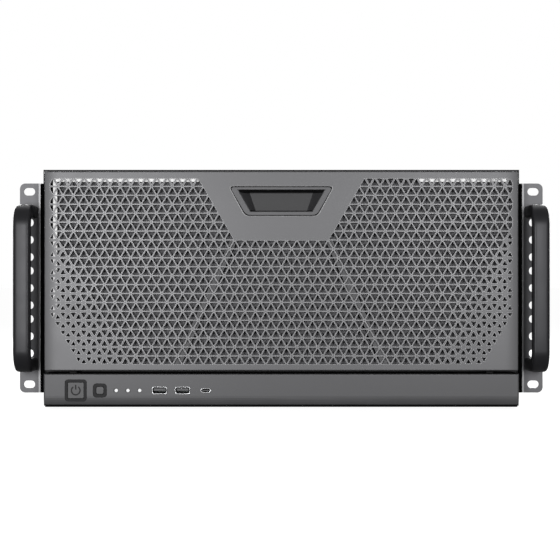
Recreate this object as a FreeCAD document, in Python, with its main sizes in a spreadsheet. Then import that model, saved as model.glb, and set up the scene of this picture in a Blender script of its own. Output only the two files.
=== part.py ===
"""Rackmount workstation, five rack units high, as a parametric assembly.

Millimetres, +Z up, +X to the right seen from the front, front towards -Y. The origin lies under the
middle of the chassis floor, in the plane where the ears meet the rack rails.
"""
import FreeCAD, Part
import math
import os
from types import SimpleNamespace

import Sketcher

V = FreeCAD.Vector
doc = FreeCAD.newDocument("RackWorkstation")

# Driving dimensions, one cell each
SIZES = {
    # folded sheet of the chassis
    "body_width": 440.0,
    "body_height": 220.0,
    "sheet": 1.2,
    "slide_gap": 0.3,
    "overrun": 1.0,
    "tray_flange": 12.0,
    "cover_skirt": 16.0,
    "cover_lip": 18.0,
    "cover_screw_spread": 190.0,
    "thumbscrew_radius": 5.5,
    "thumbscrew_head": 9.0,
    "brace_width": 24.0,
    "brace_place": 62.0,
    "brace_lip": 12.0,
    # bezel in front of the chassis: control strip below, door above
    "bezel_depth": 30.0,
    "bezel_side_inset": 5.0,
    "bezel_end_inset": 3.0,
    "strip_height": 29.5,
    "door_gap": 3.0,
    "mould_wall": 2.5,
    "panel_thick": 3.5,
    "panel_corner": 3.0,
    "door_back_gap": 4.0,
    "door_bevel": 2.2,
    # door hinge and catches
    "hinge_back": 6.5,
    "hinge_lift": 8.0,
    "hinge_inset": 25.0,
    "hinge_pin_radius": 1.5,
    "pin_clearance": 0.1,
    "lug_width": 6.0,
    "lug_gap": 0.5,
    "lug_wall": 1.1,
    "lug_reach": 10.0,
    "lug_stem": 4.0,
    "boss_length": 5.0,
    "boss_wall": 2.4,
    "catch_inset": 22.0,
    "catch_drop": 12.0,
    "ball_radius": 3.0,
    "stud_radius": 1.6,
    "stud_post": 8.0,
    "catch_gap": 0.2,
    "catch_wall": 1.6,
    "catch_depth": 9.0,
    # grille of triangular cells, three times the size of the finished surface's cells
    "grille_side_margin": 5.0,
    "grille_top_margin": 5.5,
    "grille_bottom_margin": 4.0,
    "grille_rows": 7.0,
    "grille_strut": 3.4,
    "smallest_cell": 0.45,
    "fade_width": 10.0,
    "fade_slope": 0.8,
    "fade_drop": 58.0,
    "corner_cut_width": 24.0,
    "plain_top_width": 152.0,
    "plain_bottom_width": 86.0,
    "plain_height": 58.0,
    # finger cup
    "cup_drop": 14.5,
    "cup_top_width": 91.0,
    "cup_bottom_width": 64.0,
    "cup_height": 26.7,
    "cup_rim": 3.6,
    "cup_wall": 1.6,
    "cup_depth": 13.0,
    "cup_seat": 0.1,
    "cup_back_top_width": 52.0,
    "cup_back_bottom_width": 46.0,
    # ribs and dust filter behind the grille
    "rib_width": 6.4,
    "rib_foot": 92.0,
    "rib_head": 40.0,
    "filter_frame_depth": 4.0,
    "filter_bar": 7.0,
    "filter_gap": 0.3,
    "filter_lift": 9.0,
    "filter_net_thick": 0.6,
    # controls and sockets of the strip
    "control_height": 14.5,
    "power_inset": 29.1,
    "power_face": 14.5,
    "power_ring": 2.4,
    "reset_offset": 21.8,
    "reset_face": 6.9,
    "reset_ring": 2.6,
    "button_gap": 0.25,
    "button_length": 8.0,
    "ring_depth": 6.0,
    "stem_width": 3.0,
    "stem_reach": 1.2,
    "switch_size": 6.0,
    "switch_depth": 4.0,
    "switch_well": 2.8,
    "led_offset": 36.6,
    "led_pitch": 10.6,
    "led_radius": 1.5,
    "led_well_radius": 2.5,
    "led_well_depth": 1.0,
    "usb_offset": 75.7,
    "usb_pitch": 20.9,
    "usb_width": 14.0,
    "usb_height": 8.1,
    "usb_slot_width": 12.0,
    "usb_slot_height": 4.7,
    "tongue_width": 10.5,
    "tongue_thick": 1.8,
    "small_usb_offset": 117.5,
    "small_usb_width": 9.8,
    "small_usb_height": 4.7,
    "small_usb_wall": 0.7,
    "small_tongue_width": 6.4,
    "small_tongue_thick": 0.7,
    "socket_fit": 0.1,
    "tongue_set": 1.5,
    "board_thick": 1.6,
    "io_board_back": 12.0,
    "io_board_height": 22.0,
    "io_board_overhang": 16.5,
    "post_radius": 2.2,
    # rack ears
    "ear_reach": 21.3,
    "ear_height": 193.0,
    "ear_thick": 2.0,
    "ear_bend": 4.0,
    "ear_leg": 55.0,
    "ear_leg_gap": 1.5,
    "ear_corner": 5.0,
    "slot_inset": 8.75,
    "slot_length": 10.5,
    "slot_height": 7.0,
    "hole_wide_step": 15.875,
    "hole_narrow_step": 12.7,
    # bail handles
    "handle_width": 15.2,
    "handle_thick": 12.0,
    "handle_span": 140.0,
    "handle_reach": 45.0,
    "handle_bend": 14.0,
    "handle_chamfer": 4.0,
    # shanks of the cover's thumbscrews
    "screw_radius": 1.7,
    "screw_fit": 0.1,
    # fans
    "front_fan": 180.0,
    "front_fan_depth": 32.0,
    "front_fan_hub": 32.0,
    "front_fan_gap": 6.0,
    "small_fan": 120.0,
    "small_fan_depth": 25.0,
    "small_fan_hub": 20.0,
    "fan_wall": 3.0,
    "fan_base": 4.0,
    "fan_strut": 6.0,
    "fan_strut_count": 4.0,
    "front_fan_blades": 9.0,
    "small_fan_blades": 7.0,
    "fan_tip_gap": 1.5,
    "fan_base_gap": 0.6,
    "fan_face_gap": 2.0,
    "shaft_radius": 2.0,
    "blade_thick": 2.0,
    "blade_pitch": 33.0,
    "blade_chord": 38.0,
    "small_blade_chord": 26.0,
    "rear_fan_drop": 80.0,
    "rear_fan_inset": 96.0,
    "guard_thick": 1.2,
    "guard_wire": 2.4,
    "guard_rings": 3.0,
    # power supply standing on its side
    "psu_width": 86.0,
    "psu_height": 150.0,
    "psu_length": 160.0,
    "psu_wall": 1.0,
    "psu_side_gap": 3.0,
    "psu_border": 11.0,
    "psu_fan_radius": 56.0,
    "psu_fan_hub": 19.0,
    "inlet_width": 22.0,
    "inlet_height": 30.0,
    "inlet_wall": 2.6,
    "inlet_depth": 19.0,
    "inlet_pin_set": 6.0,
    "inlet_pin_width": 2.0,
    "inlet_pin_height": 4.0,
    "inlet_pin_back": 2.9,
    "inlet_pin_spread": 7.5,
    "rocker_radius": 6.0,
    "rocker_width": 9.0,
    "rocker_gap": 0.3,
    "rocker_tilt": 7.0,
    "rocker_trim": 4.2,
    "inlet_rise": 26.0,
    "rocker_rise": 54.0,
    "vent_inset": 16.5,
    "vent_rise": 69.0,
    "vent_height": 7.0,
    "vent_pitch": 11.5,
    "vent_count": 6.0,
    # motherboard and what stands on it
    "board_width": 305.0,
    "board_length": 244.0,
    "board_gap": 9.0,
    "board_rear_gap": 2.0,
    "standoff": 8.0,
    "standoff_radius": 2.8,
    "slot_pitch": 20.32,
    "slot_count": 7.0,
    "first_slot_inset": 10.0,
    "slot_opening": 14.0,
    "slot_opening_height": 104.0,
    "slot_cover_width": 18.6,
    "slot_cover_thick": 0.9,
    "io_inset": 5.0,
    "io_width": 158.8,
    "io_height": 44.5,
    "shield_lip": 0.8,
    "port_gap": 0.6,
    "port_depth": 24.0,
    "port_proud": 1.5,
    "cpu_inset": 80.0,
    "cpu_back": 104.0,
    "cpu_socket": 50.0,
    "cpu_socket_thick": 5.0,
    "cooler_width": 116.0,
    "cooler_depth": 52.0,
    "cooler_base": 40.0,
    "cooler_base_thick": 8.0,
    "cooler_lift": 40.0,
    "fin_count": 9.0,
    "fin_pitch": 12.0,
    "fin_thick": 1.0,
    "pipe_half": 3.0,
    "pipe_step": 14.0,
    "module_length": 133.0,
    "module_height": 31.0,
    "module_thick": 4.0,
    "module_pitch": 9.5,
    "module_front": 28.0,
    "module_inset": 20.0,
    "module_socket_height": 9.0,
    "module_socket_width": 6.5,
    "chipset_size": 42.0,
    "chipset_height": 9.0,
    "chipset_grooves": 5.0,
    "card_length": 260.0,
    "card_height": 108.0,
    "card_depth": 36.0,
    "card_thick": 1.6,
    "card_lift": 4.0,
    "card_socket_length": 89.0,
    "card_socket_width": 7.5,
    "card_socket_height": 11.0,
    "card_fit": 0.2,
    "blower_radius": 34.0,
    "blower_hub": 12.0,
    "vane_length": 9.5,
    "vane_count": 11.0,
    # drive cage in front of the power supply
    "drive_width": 101.6,
    "drive_length": 147.0,
    "drive_height": 26.1,
    "drive_count": 3.0,
    "drive_pitch": 32.0,
    "drive_fit": 0.3,
    "cage_ledge": 5.0,
    "cage_gap": 6.0,
    "cage_fan_gap": 6.6,
    "cage_foot": 8.0,
    # main power lead
    "lead_radius": 4.0,
    "lead_bend": 15.0,
    "lead_plug_width": 10.0,
    "lead_plug_length": 52.0,
    "lead_plug_height": 18.0,
    "lead_plug_inset": 5.0,
    "lead_plug_front": 26.0,
    "lead_rise": 112.0,
}


class Size:
    """A number together with the sheet formula that gives it."""

    def __init__(self, value, formula):
        self.value = float(value)
        self.formula = formula

    def __add__(self, other):
        other = as_size(other)
        return Size(self.value + other.value, f"({self.formula} + {other.formula})")

    def __sub__(self, other):
        other = as_size(other)
        return Size(self.value - other.value, f"({self.formula} - {other.formula})")

    def __mul__(self, other):
        other = as_size(other)
        return Size(self.value * other.value, f"{self.formula} * {other.formula}")

    def __truediv__(self, other):
        other = as_size(other)
        return Size(self.value / other.value, f"{self.formula} / {other.formula}")

    def __neg__(self):
        return Size(-self.value, f"(-1 * {self.formula})")

    def __radd__(self, other):
        return as_size(other) + self

    def __rsub__(self, other):
        return as_size(other) - self

    def __rmul__(self, other):
        return as_size(other) * self


def as_size(number):
    if isinstance(number, Size):
        return number
    return Size(number, f"({number})")


def root(size):
    return Size(math.sqrt(size.value), f"sqrt({size.formula})")


def fill_sheet():
    sheet = doc.addObject("Spreadsheet::Sheet", "Sizes")
    sizes = SimpleNamespace()
    for row, (alias, number) in enumerate(SIZES.items(), start=1):
        sheet.set(f"A{row}", alias)
        sheet.set(f"B{row}", str(number))
        sheet.setAlias(f"B{row}", alias)
        setattr(sizes, alias, Size(number, f"Sizes.{alias}"))
    doc.recompute()
    return sizes


dim = fill_sheet()
nodes = []

# Flats that stand for a circle: on small pegs, on hubs and shafts, on ducts
PEG_SIDES = 8
HUB_SIDES = 12
DUCT_SIDES = 24
GUARD_SIDES = 12

# Straight chords that stand for each bend of a handle
BEND_CHORDS = 5


# Helpers: primitives and booleans

def node(label, obj):
    obj.Label = label
    nodes.append(obj)
    return obj


def around(centre, width):
    return (centre - width / 2, centre + width / 2)


def bind(obj, prop, size):
    obj.setExpression(prop, as_size(size).formula)


def place(obj, x, y, z, rotation=None):
    if rotation is not None:
        obj.Placement = FreeCAD.Placement(V(), rotation)
    for letter, coordinate in zip("xyz", (x, y, z)):
        bind(obj, f".Placement.Base.{letter}", coordinate)


def block(x, y, z):
    box = doc.addObject("Part::Box", "Block")
    for prop, (low, high) in zip(("Length", "Width", "Height"), (x, y, z)):
        bind(box, prop, as_size(high) - low)
    place(box, x[0], y[0], z[0])
    return box


ALONG = {
    "x": FreeCAD.Rotation(V(0, 1, 0), 90),
    "y": FreeCAD.Rotation(V(1, 0, 0), -90),
    "z": FreeCAD.Rotation(),
}


def stand(obj, axis, centre, start):
    first, second = centre
    foot = {"x": (start, first, second), "y": (first, start, second), "z": (first, second, start)}
    place(obj, *foot[axis], rotation=ALONG[axis])


def rod(axis, centre, span, radius):
    cylinder = doc.addObject("Part::Cylinder", "Rod")
    bind(cylinder, "Radius", radius)
    bind(cylinder, "Height", as_size(span[1]) - span[0])
    stand(cylinder, axis, centre, span[0])
    return cylinder


def peg(axis, centre, span, radius, sides=PEG_SIDES):
    """Prism of a few flats, for small round pieces and their holes."""
    prism = doc.addObject("Part::Prism", "Peg")
    prism.Polygon = sides
    bind(prism, "Circumradius", radius)
    bind(prism, "Height", as_size(span[1]) - span[0])
    stand(prism, axis, centre, span[0])
    return prism


def fuse(*shapes):
    if len(shapes) == 1:
        return shapes[0]
    joined = doc.addObject("Part::MultiFuse", "Fuse")
    joined.Shapes = list(shapes)
    joined.Refine = True
    return joined


def cut(base, *tools):
    remainder = doc.addObject("Part::Cut", "Cut")
    remainder.Base = base
    remainder.Tool = fuse(*tools)
    remainder.Refine = True
    return remainder


def group(*shapes):
    bundle = doc.addObject("Part::Compound", "Group")
    bundle.Links = list(shapes)
    return bundle


def mirrored(source):
    copy = doc.addObject("Part::Mirroring", "Mirror")
    copy.Source = source
    copy.Normal = V(1, 0, 0)
    return copy


def shaped(name, shape):
    feature = doc.addObject("Part::Feature", name)
    feature.Shape = shape
    return feature


# Helpers: bodies with sketches

def new_body(name):
    return doc.addObject("PartDesign::Body", name)


def sketch(body, role, offset=0):
    drawing = body.newObject("Sketcher::SketchObject", "Sketch")
    plane = [feature for feature in body.Origin.OriginFeatures if feature.Role == role][0]
    drawing.AttachmentSupport = (plane, [""])
    drawing.MapMode = "FlatFace"
    bind(drawing, ".AttachmentOffset.Base.z", offset)
    return drawing


def pin_point(drawing, geometry, point, x, y):
    for kind, coordinate in (("DistanceX", as_size(x)), ("DistanceY", as_size(y))):
        rule = Sketcher.Constraint(kind, -1, 1, geometry, point, coordinate.value)
        index = drawing.addConstraint(rule)
        drawing.setExpression(f"Constraints[{index}]", coordinate.formula)


def set_radius(drawing, geometry, radius):
    index = drawing.addConstraint(Sketcher.Constraint("Radius", geometry, radius.value))
    drawing.setExpression(f"Constraints[{index}]", radius.formula)


def polygon(drawing, corners):
    corners = [(as_size(x), as_size(y)) for x, y in corners]
    lines = []
    for (x0, y0), (x1, y1) in zip(corners, corners[1:] + corners[:1]):
        line = Part.LineSegment(V(x0.value, y0.value, 0), V(x1.value, y1.value, 0))
        lines.append(drawing.addGeometry(line, False))
    for before, after in zip(lines, lines[1:] + lines[:1]):
        drawing.addConstraint(Sketcher.Constraint("Coincident", before, 2, after, 1))
    for line, (x, y) in zip(lines, corners):
        pin_point(drawing, line, 1, x, y)


def rectangle(drawing, x, y):
    polygon(drawing, [(x[0], y[0]), (x[1], y[0]), (x[1], y[1]), (x[0], y[1])])


def ring(drawing, radius, sides):
    """Regular polygon about the sketch's origin."""
    turns = [2 * math.pi * k / sides for k in range(sides)]
    polygon(drawing, [(radius * math.cos(turn), radius * math.sin(turn)) for turn in turns])


def circle(drawing, radius):
    """Circle about the sketch's origin."""
    loop = drawing.addGeometry(Part.Circle(V(), V(0, 0, 1), radius.value), False)
    pin_point(drawing, loop, 3, 0, 0)
    set_radius(drawing, loop, radius)


def obround(drawing, x, y, length, height):
    radius = height / 2
    reach = length / 2 - radius
    ends = []
    for side, first in ((-1, math.pi / 2), (1, -math.pi / 2)):
        middle = V((x + reach * side).value, y.value, 0)
        arc = Part.ArcOfCircle(Part.Circle(middle, V(0, 0, 1), radius.value), first, first + math.pi)
        ends.append(drawing.addGeometry(arc, False))
        pin_point(drawing, ends[-1], 3, x + reach * side, y)
        set_radius(drawing, ends[-1], radius)
    for side, left_end, right_end in ((1, 1, 2), (-1, 2, 1)):
        left = V((x - reach).value, (y + radius * side).value, 0)
        right = V((x + reach).value, (y + radius * side).value, 0)
        line = drawing.addGeometry(Part.LineSegment(left, right), False)
        drawing.addConstraint(Sketcher.Constraint("Coincident", line, 1, ends[0], left_end))
        drawing.addConstraint(Sketcher.Constraint("Coincident", line, 2, ends[1], right_end))


def pad(body, drawing, length, reverse=False):
    feature = body.newObject("PartDesign::Pad", "Pad")
    feature.Profile = drawing
    feature.Reversed = reverse
    bind(feature, "Length", length)
    return feature


def pocket(body, drawing, length, reverse=False):
    feature = body.newObject("PartDesign::Pocket", "Pocket")
    feature.Profile = drawing
    feature.Reversed = reverse
    bind(feature, "Length", length)
    return feature


def polar(body, feature, count):
    pattern = body.newObject("PartDesign::PolarPattern", "PolarPattern")
    axis = [line for line in body.Origin.OriginFeatures if line.Role == "Z_Axis"][0]
    pattern.Originals = [feature]
    pattern.Axis = (axis, [""])
    pattern.Angle = 360
    pattern.Occurrences = count
    body.Tip = pattern
    return pattern


def linear(body, feature, role, step, count):
    pattern = body.newObject("PartDesign::LinearPattern", "LinearPattern")
    axis = [line for line in body.Origin.OriginFeatures if line.Role == role][0]
    pattern.Originals = [feature]
    pattern.Direction = (axis, [""])
    pattern.Occurrences = count
    bind(pattern, "Length", step * (count - 1))
    body.Tip = pattern
    return pattern


def round_edges(body, radius, chosen):
    doc.recompute()
    base = body.Tip
    names = []
    for number, edge in enumerate(base.Shape.Edges, start=1):
        if chosen(edge):
            names.append(f"Edge{number}")
    fillet = body.newObject("PartDesign::Fillet", "Fillet")
    fillet.Base = (base, names)
    bind(fillet, "Radius", radius)
    return fillet


def runs_along(edge, direction):
    if edge.Curve.TypeId != "Part::GeomLine":
        return False
    return abs(abs(edge.Curve.Direction.dot(direction)) - 1) < 1e-6


def bore_round(radius):
    """Corner radius of a bore with flats in which a pin or shaft of this radius turns freely."""
    return (radius + dim.pin_clearance) / math.cos(math.pi / HUB_SIDES)


# Planes that several pieces share

half_width = dim.body_width / 2
fans_back = dim.sheet + dim.front_fan_depth
cage_front = fans_back + dim.cage_fan_gap
cage_back = cage_front + dim.drive_length
board_front = cage_back + dim.cage_gap
board_rear = board_front + dim.board_length
rear_in = board_rear + dim.board_rear_gap
body_depth = rear_in + dim.sheet
tray_half = half_width - dim.sheet - dim.slide_gap
tray_in = tray_half - dim.sheet
tray_top = dim.body_height - dim.sheet - dim.slide_gap
inside_top = tray_top - dim.sheet
lip_in = body_depth + dim.slide_gap
lip_out = lip_in + dim.sheet
cover_screw_height = dim.body_height - dim.cover_lip / 2
cover_screws = [dim.cover_screw_spread * side for side in (-1, 0, 1)]

bezel_half = half_width - dim.bezel_side_inset
face = -dim.bezel_depth
strip_low = dim.bezel_end_inset
strip_top = strip_low + dim.strip_height
door_low = strip_top + dim.door_gap
door_top = dim.body_height - dim.bezel_end_inset
panel_back = face + dim.panel_thick
rim_back = -dim.door_back_gap
hinge_y = face + dim.hinge_back
hinge_z = strip_top + dim.hinge_lift
hinge_x = bezel_half - dim.hinge_inset
pin_bore = bore_round(dim.hinge_pin_radius)
catch_x = bezel_half - dim.catch_inset
catch_z = door_top - dim.catch_drop

mid_height = dim.body_height / 2
ear_low = mid_height - dim.ear_height / 2
ear_top = mid_height + dim.ear_height / 2
ear_out = half_width + dim.ear_reach
ear_face = -dim.ear_thick
slot_x = ear_out - dim.slot_inset

psu_right = tray_in - dim.psu_side_gap
psu_left = psu_right - dim.psu_width
psu_low = dim.sheet
psu_top = psu_low + dim.psu_height
psu_front = rear_in - dim.psu_length
psu_mid = (psu_left + psu_right) / 2

board_right = psu_left - dim.board_gap
board_left = board_right - dim.board_width
board_low = dim.sheet + dim.standoff
board_top = board_low + dim.board_thick
slot_count = int(dim.slot_count.value)
slot_xs = [board_left + dim.first_slot_inset + dim.slot_pitch * k for k in range(slot_count)]
slot_low = board_top + dim.card_lift
slot_high = slot_low + dim.slot_opening_height
io_right = board_right - dim.io_inset
io_left = io_right - dim.io_width
io_low = board_low
io_high = io_low + dim.io_height
rear_fan_x = psu_left - dim.rear_fan_inset
rear_fan_z = dim.body_height - dim.rear_fan_drop


# Chassis: folded tray, bulkhead, rear panel, cover, brace

def make_base_tray():
    body = new_body("BaseTray")
    drawing = sketch(body, "XZ_Plane")
    side = [
        (tray_half, 0),
        (tray_half, tray_top),
        (tray_half - dim.tray_flange, tray_top),
        (tray_half - dim.tray_flange, inside_top),
        (tray_in, inside_top),
        (tray_in, dim.sheet),
    ]
    polygon(drawing, side + [(-as_size(x), z) for x, z in reversed(side)])
    pad(body, drawing, body_depth, reverse=True)
    return node("base_tray", body)


def fan_centres():
    return [(dim.front_fan + dim.front_fan_gap) / 2 * side for side in (-1, 1)]


front_fan_z = inside_top - dim.front_fan / 2 - dim.slide_gap


def make_front_bulkhead():
    plate = block((-tray_in, tray_in), (0, dim.sheet), (dim.sheet, inside_top))
    duct = dim.front_fan / 2 - dim.fan_wall
    holes = [peg("y", (x, front_fan_z), (-dim.sheet, dim.sheet * 2), duct, DUCT_SIDES)
             for x in fan_centres()]
    lead_hole = block(around(io_board_mid, dim.io_board_height), (-dim.sheet, dim.sheet * 2),
                      around(strip_low + dim.control_height, dim.strip_height / 3))
    return node("front_bulkhead", cut(plate, lead_hole, *holes))


def make_rear_panel():
    through = (rear_in - dim.sheet, body_depth + dim.sheet)
    plate = block((-tray_in, tray_in), (rear_in, body_depth), (dim.sheet, inside_top))
    holes = [
        block((psu_left + dim.psu_border, psu_right - dim.psu_border), through,
              (psu_low + dim.psu_border, psu_top - dim.psu_border)),
        block((io_left, io_right), through, (io_low, io_high)),
        peg("y", (rear_fan_x, rear_fan_z), through, dim.small_fan / 2 - dim.fan_wall, DUCT_SIDES),
    ]
    for x in slot_xs:
        holes.append(block(around(x, dim.slot_opening), through, (slot_low, slot_high)))
        holes.append(block(around(x, dim.slot_opening / 2), through,
                           (slot_high + dim.slot_pitch, inside_top - dim.slot_pitch)))
    for x in cover_screws:
        holes.append(peg("y", (x, cover_screw_height), through, dim.screw_radius + dim.slide_gap))
    return node("rear_panel", cut(plate, *holes))


def make_top_cover():
    body = new_body("TopCover")
    drawing = sketch(body, "XZ_Plane", -dim.slide_gap)
    low = dim.body_height - dim.cover_skirt
    under = dim.body_height - dim.sheet
    side = [
        (half_width - dim.sheet, under),
        (half_width - dim.sheet, low),
        (half_width, low),
        (half_width, dim.body_height),
    ]
    polygon(drawing, side + [(-x, z) for x, z in reversed(side)])
    pad(body, drawing, lip_out - dim.slide_gap, reverse=True)
    lip = sketch(body, "XZ_Plane", -lip_out)
    rectangle(lip, (-half_width, half_width), (dim.body_height - dim.cover_lip, dim.body_height))
    pad(body, lip, dim.sheet)
    through = (lip_in - dim.overrun, lip_out + dim.overrun)
    holes = [peg("y", (x, cover_screw_height), through, dim.screw_radius + dim.screw_fit)
             for x in cover_screws]
    return node("top_cover", cut(body, *holes))


def make_cover_thumbscrews():
    screws = []
    for x in cover_screws:
        centre = (x, cover_screw_height)
        head = peg("y", centre, (lip_out, lip_out + dim.thumbscrew_head), dim.thumbscrew_radius, HUB_SIDES)
        shank = peg("y", centre, (rear_in - dim.sheet, lip_out), dim.screw_radius)
        screws.append(fuse(head, shank))
    return node("cover_thumbscrews", group(*screws))


def make_cross_brace():
    y = (dim.brace_place, dim.brace_place + dim.brace_width)
    under = inside_top - dim.brace_lip
    channel = cut(
        block((-tray_in, tray_in), y, (under, inside_top)),
        block((-half_width, half_width), (y[0] + dim.sheet, y[1] - dim.sheet),
              (under - dim.overrun, inside_top - dim.sheet)),
    )
    return node("cross_brace", channel)


# Ears and handles

handle_ends = [mid_height + dim.handle_span / 2 * end for end in (-1, 1)]


def ear_slot_offsets():
    """Rows of the rack's hole pattern, without the rows that the handle's feet stand on."""
    steps = [dim.hole_wide_step, dim.hole_narrow_step, dim.hole_wide_step,
             dim.hole_wide_step, dim.hole_narrow_step, dim.hole_wide_step]
    foot = dim.handle_span.value / 2
    reserve = (dim.handle_thick.value + dim.slot_height.value) / 2
    offsets = [as_size(0)]
    offset = as_size(0)
    for step in steps:
        offset = offset + step
        if abs(offset.value - foot) > reserve:
            offsets += [offset, -offset]
    return offsets


def clipped_slot(drawing, x, y, length, height):
    """Slot with its ends drawn as half octagons."""
    flat = height * ((math.sqrt(2) - 1) / 2)
    end, side = length / 2, height / 2
    corner = side - flat
    right, left = [(x + end, flat), (x + end - corner, side)], [(x - end + corner, side), (x - end, flat)]
    upper = [(across, y + up) for across, up in right + left]
    lower = [(across, y - up) for across, up in reversed(right + left)]
    polygon(drawing, upper + lower)


def make_ears():
    body = new_body("RightEar")
    profile = sketch(body, "XY_Plane", ear_low)
    polygon(profile, [
        (tray_half, ear_face), (ear_out, ear_face), (ear_out, 0), (tray_half + dim.ear_thick, 0),
        (tray_half + dim.ear_thick, dim.ear_leg), (tray_half, dim.ear_leg),
    ])
    pad(body, profile, dim.ear_height)
    along = V(0, 0, 1)
    round_edges(body, dim.ear_bend, lambda edge: runs_along(edge, along)
                and abs(edge.CenterOfMass.x - tray_half.value) < 0.01 and edge.CenterOfMass.y < 0)
    round_edges(body, dim.ear_bend - dim.ear_thick, lambda edge: runs_along(edge, along)
                and abs(edge.CenterOfMass.x - (tray_half + dim.ear_thick).value) < 0.01
                and abs(edge.CenterOfMass.y) < 0.01)
    across = V(0, 1, 0)
    round_edges(body, dim.ear_corner, lambda edge: runs_along(edge, across)
                and abs(edge.CenterOfMass.x - ear_out.value) < 0.01)
    leg_top = dim.body_height - dim.cover_skirt - dim.ear_leg_gap
    trim = sketch(body, "YZ_Plane", tray_half + dim.ear_bend)
    rectangle(trim, (0, dim.ear_leg + dim.overrun), (leg_top, ear_top + dim.overrun))
    pocket(body, trim, dim.ear_bend * 2)
    slots = sketch(body, "XZ_Plane", dim.ear_thick * 2)
    offsets = ear_slot_offsets()
    for offset in offsets[-2:]:
        obround(slots, slot_x, mid_height + offset, dim.slot_length, dim.slot_height)
    for offset in offsets[:-2]:
        clipped_slot(slots, slot_x, mid_height + offset, dim.slot_length, dim.slot_height)
    pocket(body, slots, dim.ear_thick * 3)
    node("right_ear", body)
    node("left_ear", mirrored(body))


def make_handles():
    body = new_body("RightHandle")
    bar = ear_face - dim.handle_reach + dim.handle_thick / 2
    bend = dim.handle_bend
    path = sketch(body, "YZ_Plane", slot_x)
    low, high = (end.value for end in handle_ends)
    start, front, turn = ear_face.value, bar.value, bend.value
    stops = [V(start, low, 0)]
    for middle, first in ((low + turn, 3), (high - turn, 2)):
        for k in range(BEND_CHORDS + 1):
            angle = (first - k / BEND_CHORDS) * math.pi / 2
            stops.append(V(front + turn + turn * math.cos(angle), middle + turn * math.sin(angle), 0))
    stops.append(V(start, high, 0))
    for here, onward in zip(stops, stops[1:]):
        path.addGeometry(Part.LineSegment(here, onward), False)
    section = sketch(body, "XZ_Plane", -ear_face)
    half, thick = dim.handle_width / 2, dim.handle_thick / 2
    wide, slim = half - dim.handle_chamfer, thick - dim.handle_chamfer
    outline = [(half, slim), (wide, thick), (-wide, thick), (-half, slim),
               (-half, -slim), (-wide, -thick), (wide, -thick), (half, -slim)]
    polygon(section, [(slot_x + x, handle_ends[0] + z) for x, z in outline])
    pipe = body.newObject("PartDesign::AdditivePipe", "Pipe")
    pipe.Profile = section
    pipe.Spine = path
    pipe.Transition = "Right corner"
    node("right_handle", body)
    node("left_handle", mirrored(body))


# Control strip

control_z = strip_low + dim.control_height
power_x = -bezel_half + dim.power_inset
reset_x = power_x + dim.reset_offset
led_xs = [power_x + dim.led_offset + dim.led_pitch * k for k in range(3)]
usb_xs = [power_x + dim.usb_offset + dim.usb_pitch * k for k in range(2)]
small_usb_x = power_x + dim.small_usb_offset
buttons = [("power_button", power_x, dim.power_face, dim.power_ring),
           ("reset_button", reset_x, dim.reset_face, dim.reset_ring)]
io_board_front = -dim.io_board_back
io_board_back = io_board_front + dim.board_thick
io_board_span = (power_x - dim.io_board_overhang, small_usb_x + dim.io_board_overhang)
io_board_mid = (io_board_span[0] + io_board_span[1]) / 2
post_xs = [io_board_span[0] + dim.post_radius, (usb_xs[0] + usb_xs[1]) / 2,
           io_board_span[1] - dim.post_radius]
lug_y = hinge_y + dim.lug_reach
lug_radius = dim.hinge_pin_radius + dim.lug_wall
front_of_face = face - dim.mould_wall


def ring_outer(width, ring):
    return width + dim.button_gap * 2 + ring * 2


def hinge_lug():
    x = around(hinge_x, dim.lug_width)
    eye = peg("x", (hinge_y, hinge_z), x, lug_radius, HUB_SIDES)
    arm = block(x, (hinge_y, lug_y), (hinge_z - lug_radius, hinge_z + lug_radius))
    stem = block(x, (lug_y - dim.lug_stem, lug_y), (strip_top - dim.mould_wall, hinge_z + lug_radius))
    return fuse(eye, arm, stem)


def make_control_strip():
    inner = bezel_half - dim.mould_wall
    shell = cut(
        block((-bezel_half, bezel_half), (face, 0), (strip_low, strip_top)),
        block((-inner, inner), (face + dim.mould_wall, dim.mould_wall),
              (strip_low + dim.mould_wall, strip_top - dim.mould_wall)),
    )
    lug = hinge_lug()
    posts = [peg("y", (x, control_z), (face + dim.mould_wall / 2, io_board_front), dim.post_radius)
             for x in post_xs]
    solid = fuse(shell, lug, mirrored(lug), *posts)
    wall = (front_of_face, face + dim.mould_wall * 1.5)
    holes = []
    for label, x, width, ring in buttons:
        opening = ring_outer(width, ring) + dim.socket_fit * 2
        holes.append(block(around(x, opening), wall, around(control_z, opening)))
    for x in led_xs:
        well = (front_of_face, face + dim.led_well_depth)
        holes.append(peg("y", (x, control_z), wall, dim.led_radius + dim.socket_fit))
        holes.append(peg("y", (x, control_z), well, dim.led_well_radius))
    for x in usb_xs:
        holes.append(block(around(x, dim.usb_width + dim.socket_fit * 2), wall,
                           around(control_z, dim.usb_height + dim.socket_fit * 2)))
    holes.append(block(around(small_usb_x, dim.small_usb_width + dim.socket_fit * 2), wall,
                       around(control_z, dim.small_usb_height + dim.socket_fit * 2)))
    for side in (-1, 1):
        x = around(hinge_x * side, dim.lug_width * 2)
        holes.append(peg("x", (hinge_y, hinge_z), x, pin_bore, HUB_SIDES))
    return node("control_strip", cut(solid, *holes))


def make_button_surrounds():
    rings = []
    for label, x, width, ring in buttons:
        outer = ring_outer(width, ring)
        opening = width + dim.button_gap * 2
        depth = (face, face + dim.ring_depth)
        frame = block(around(x, outer), depth, around(control_z, outer))
        hole = block(around(x, opening), (front_of_face, depth[1] + dim.overrun),
                     around(control_z, opening))
        rings.append(cut(frame, hole))
    return node("button_surrounds", group(*rings))


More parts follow.
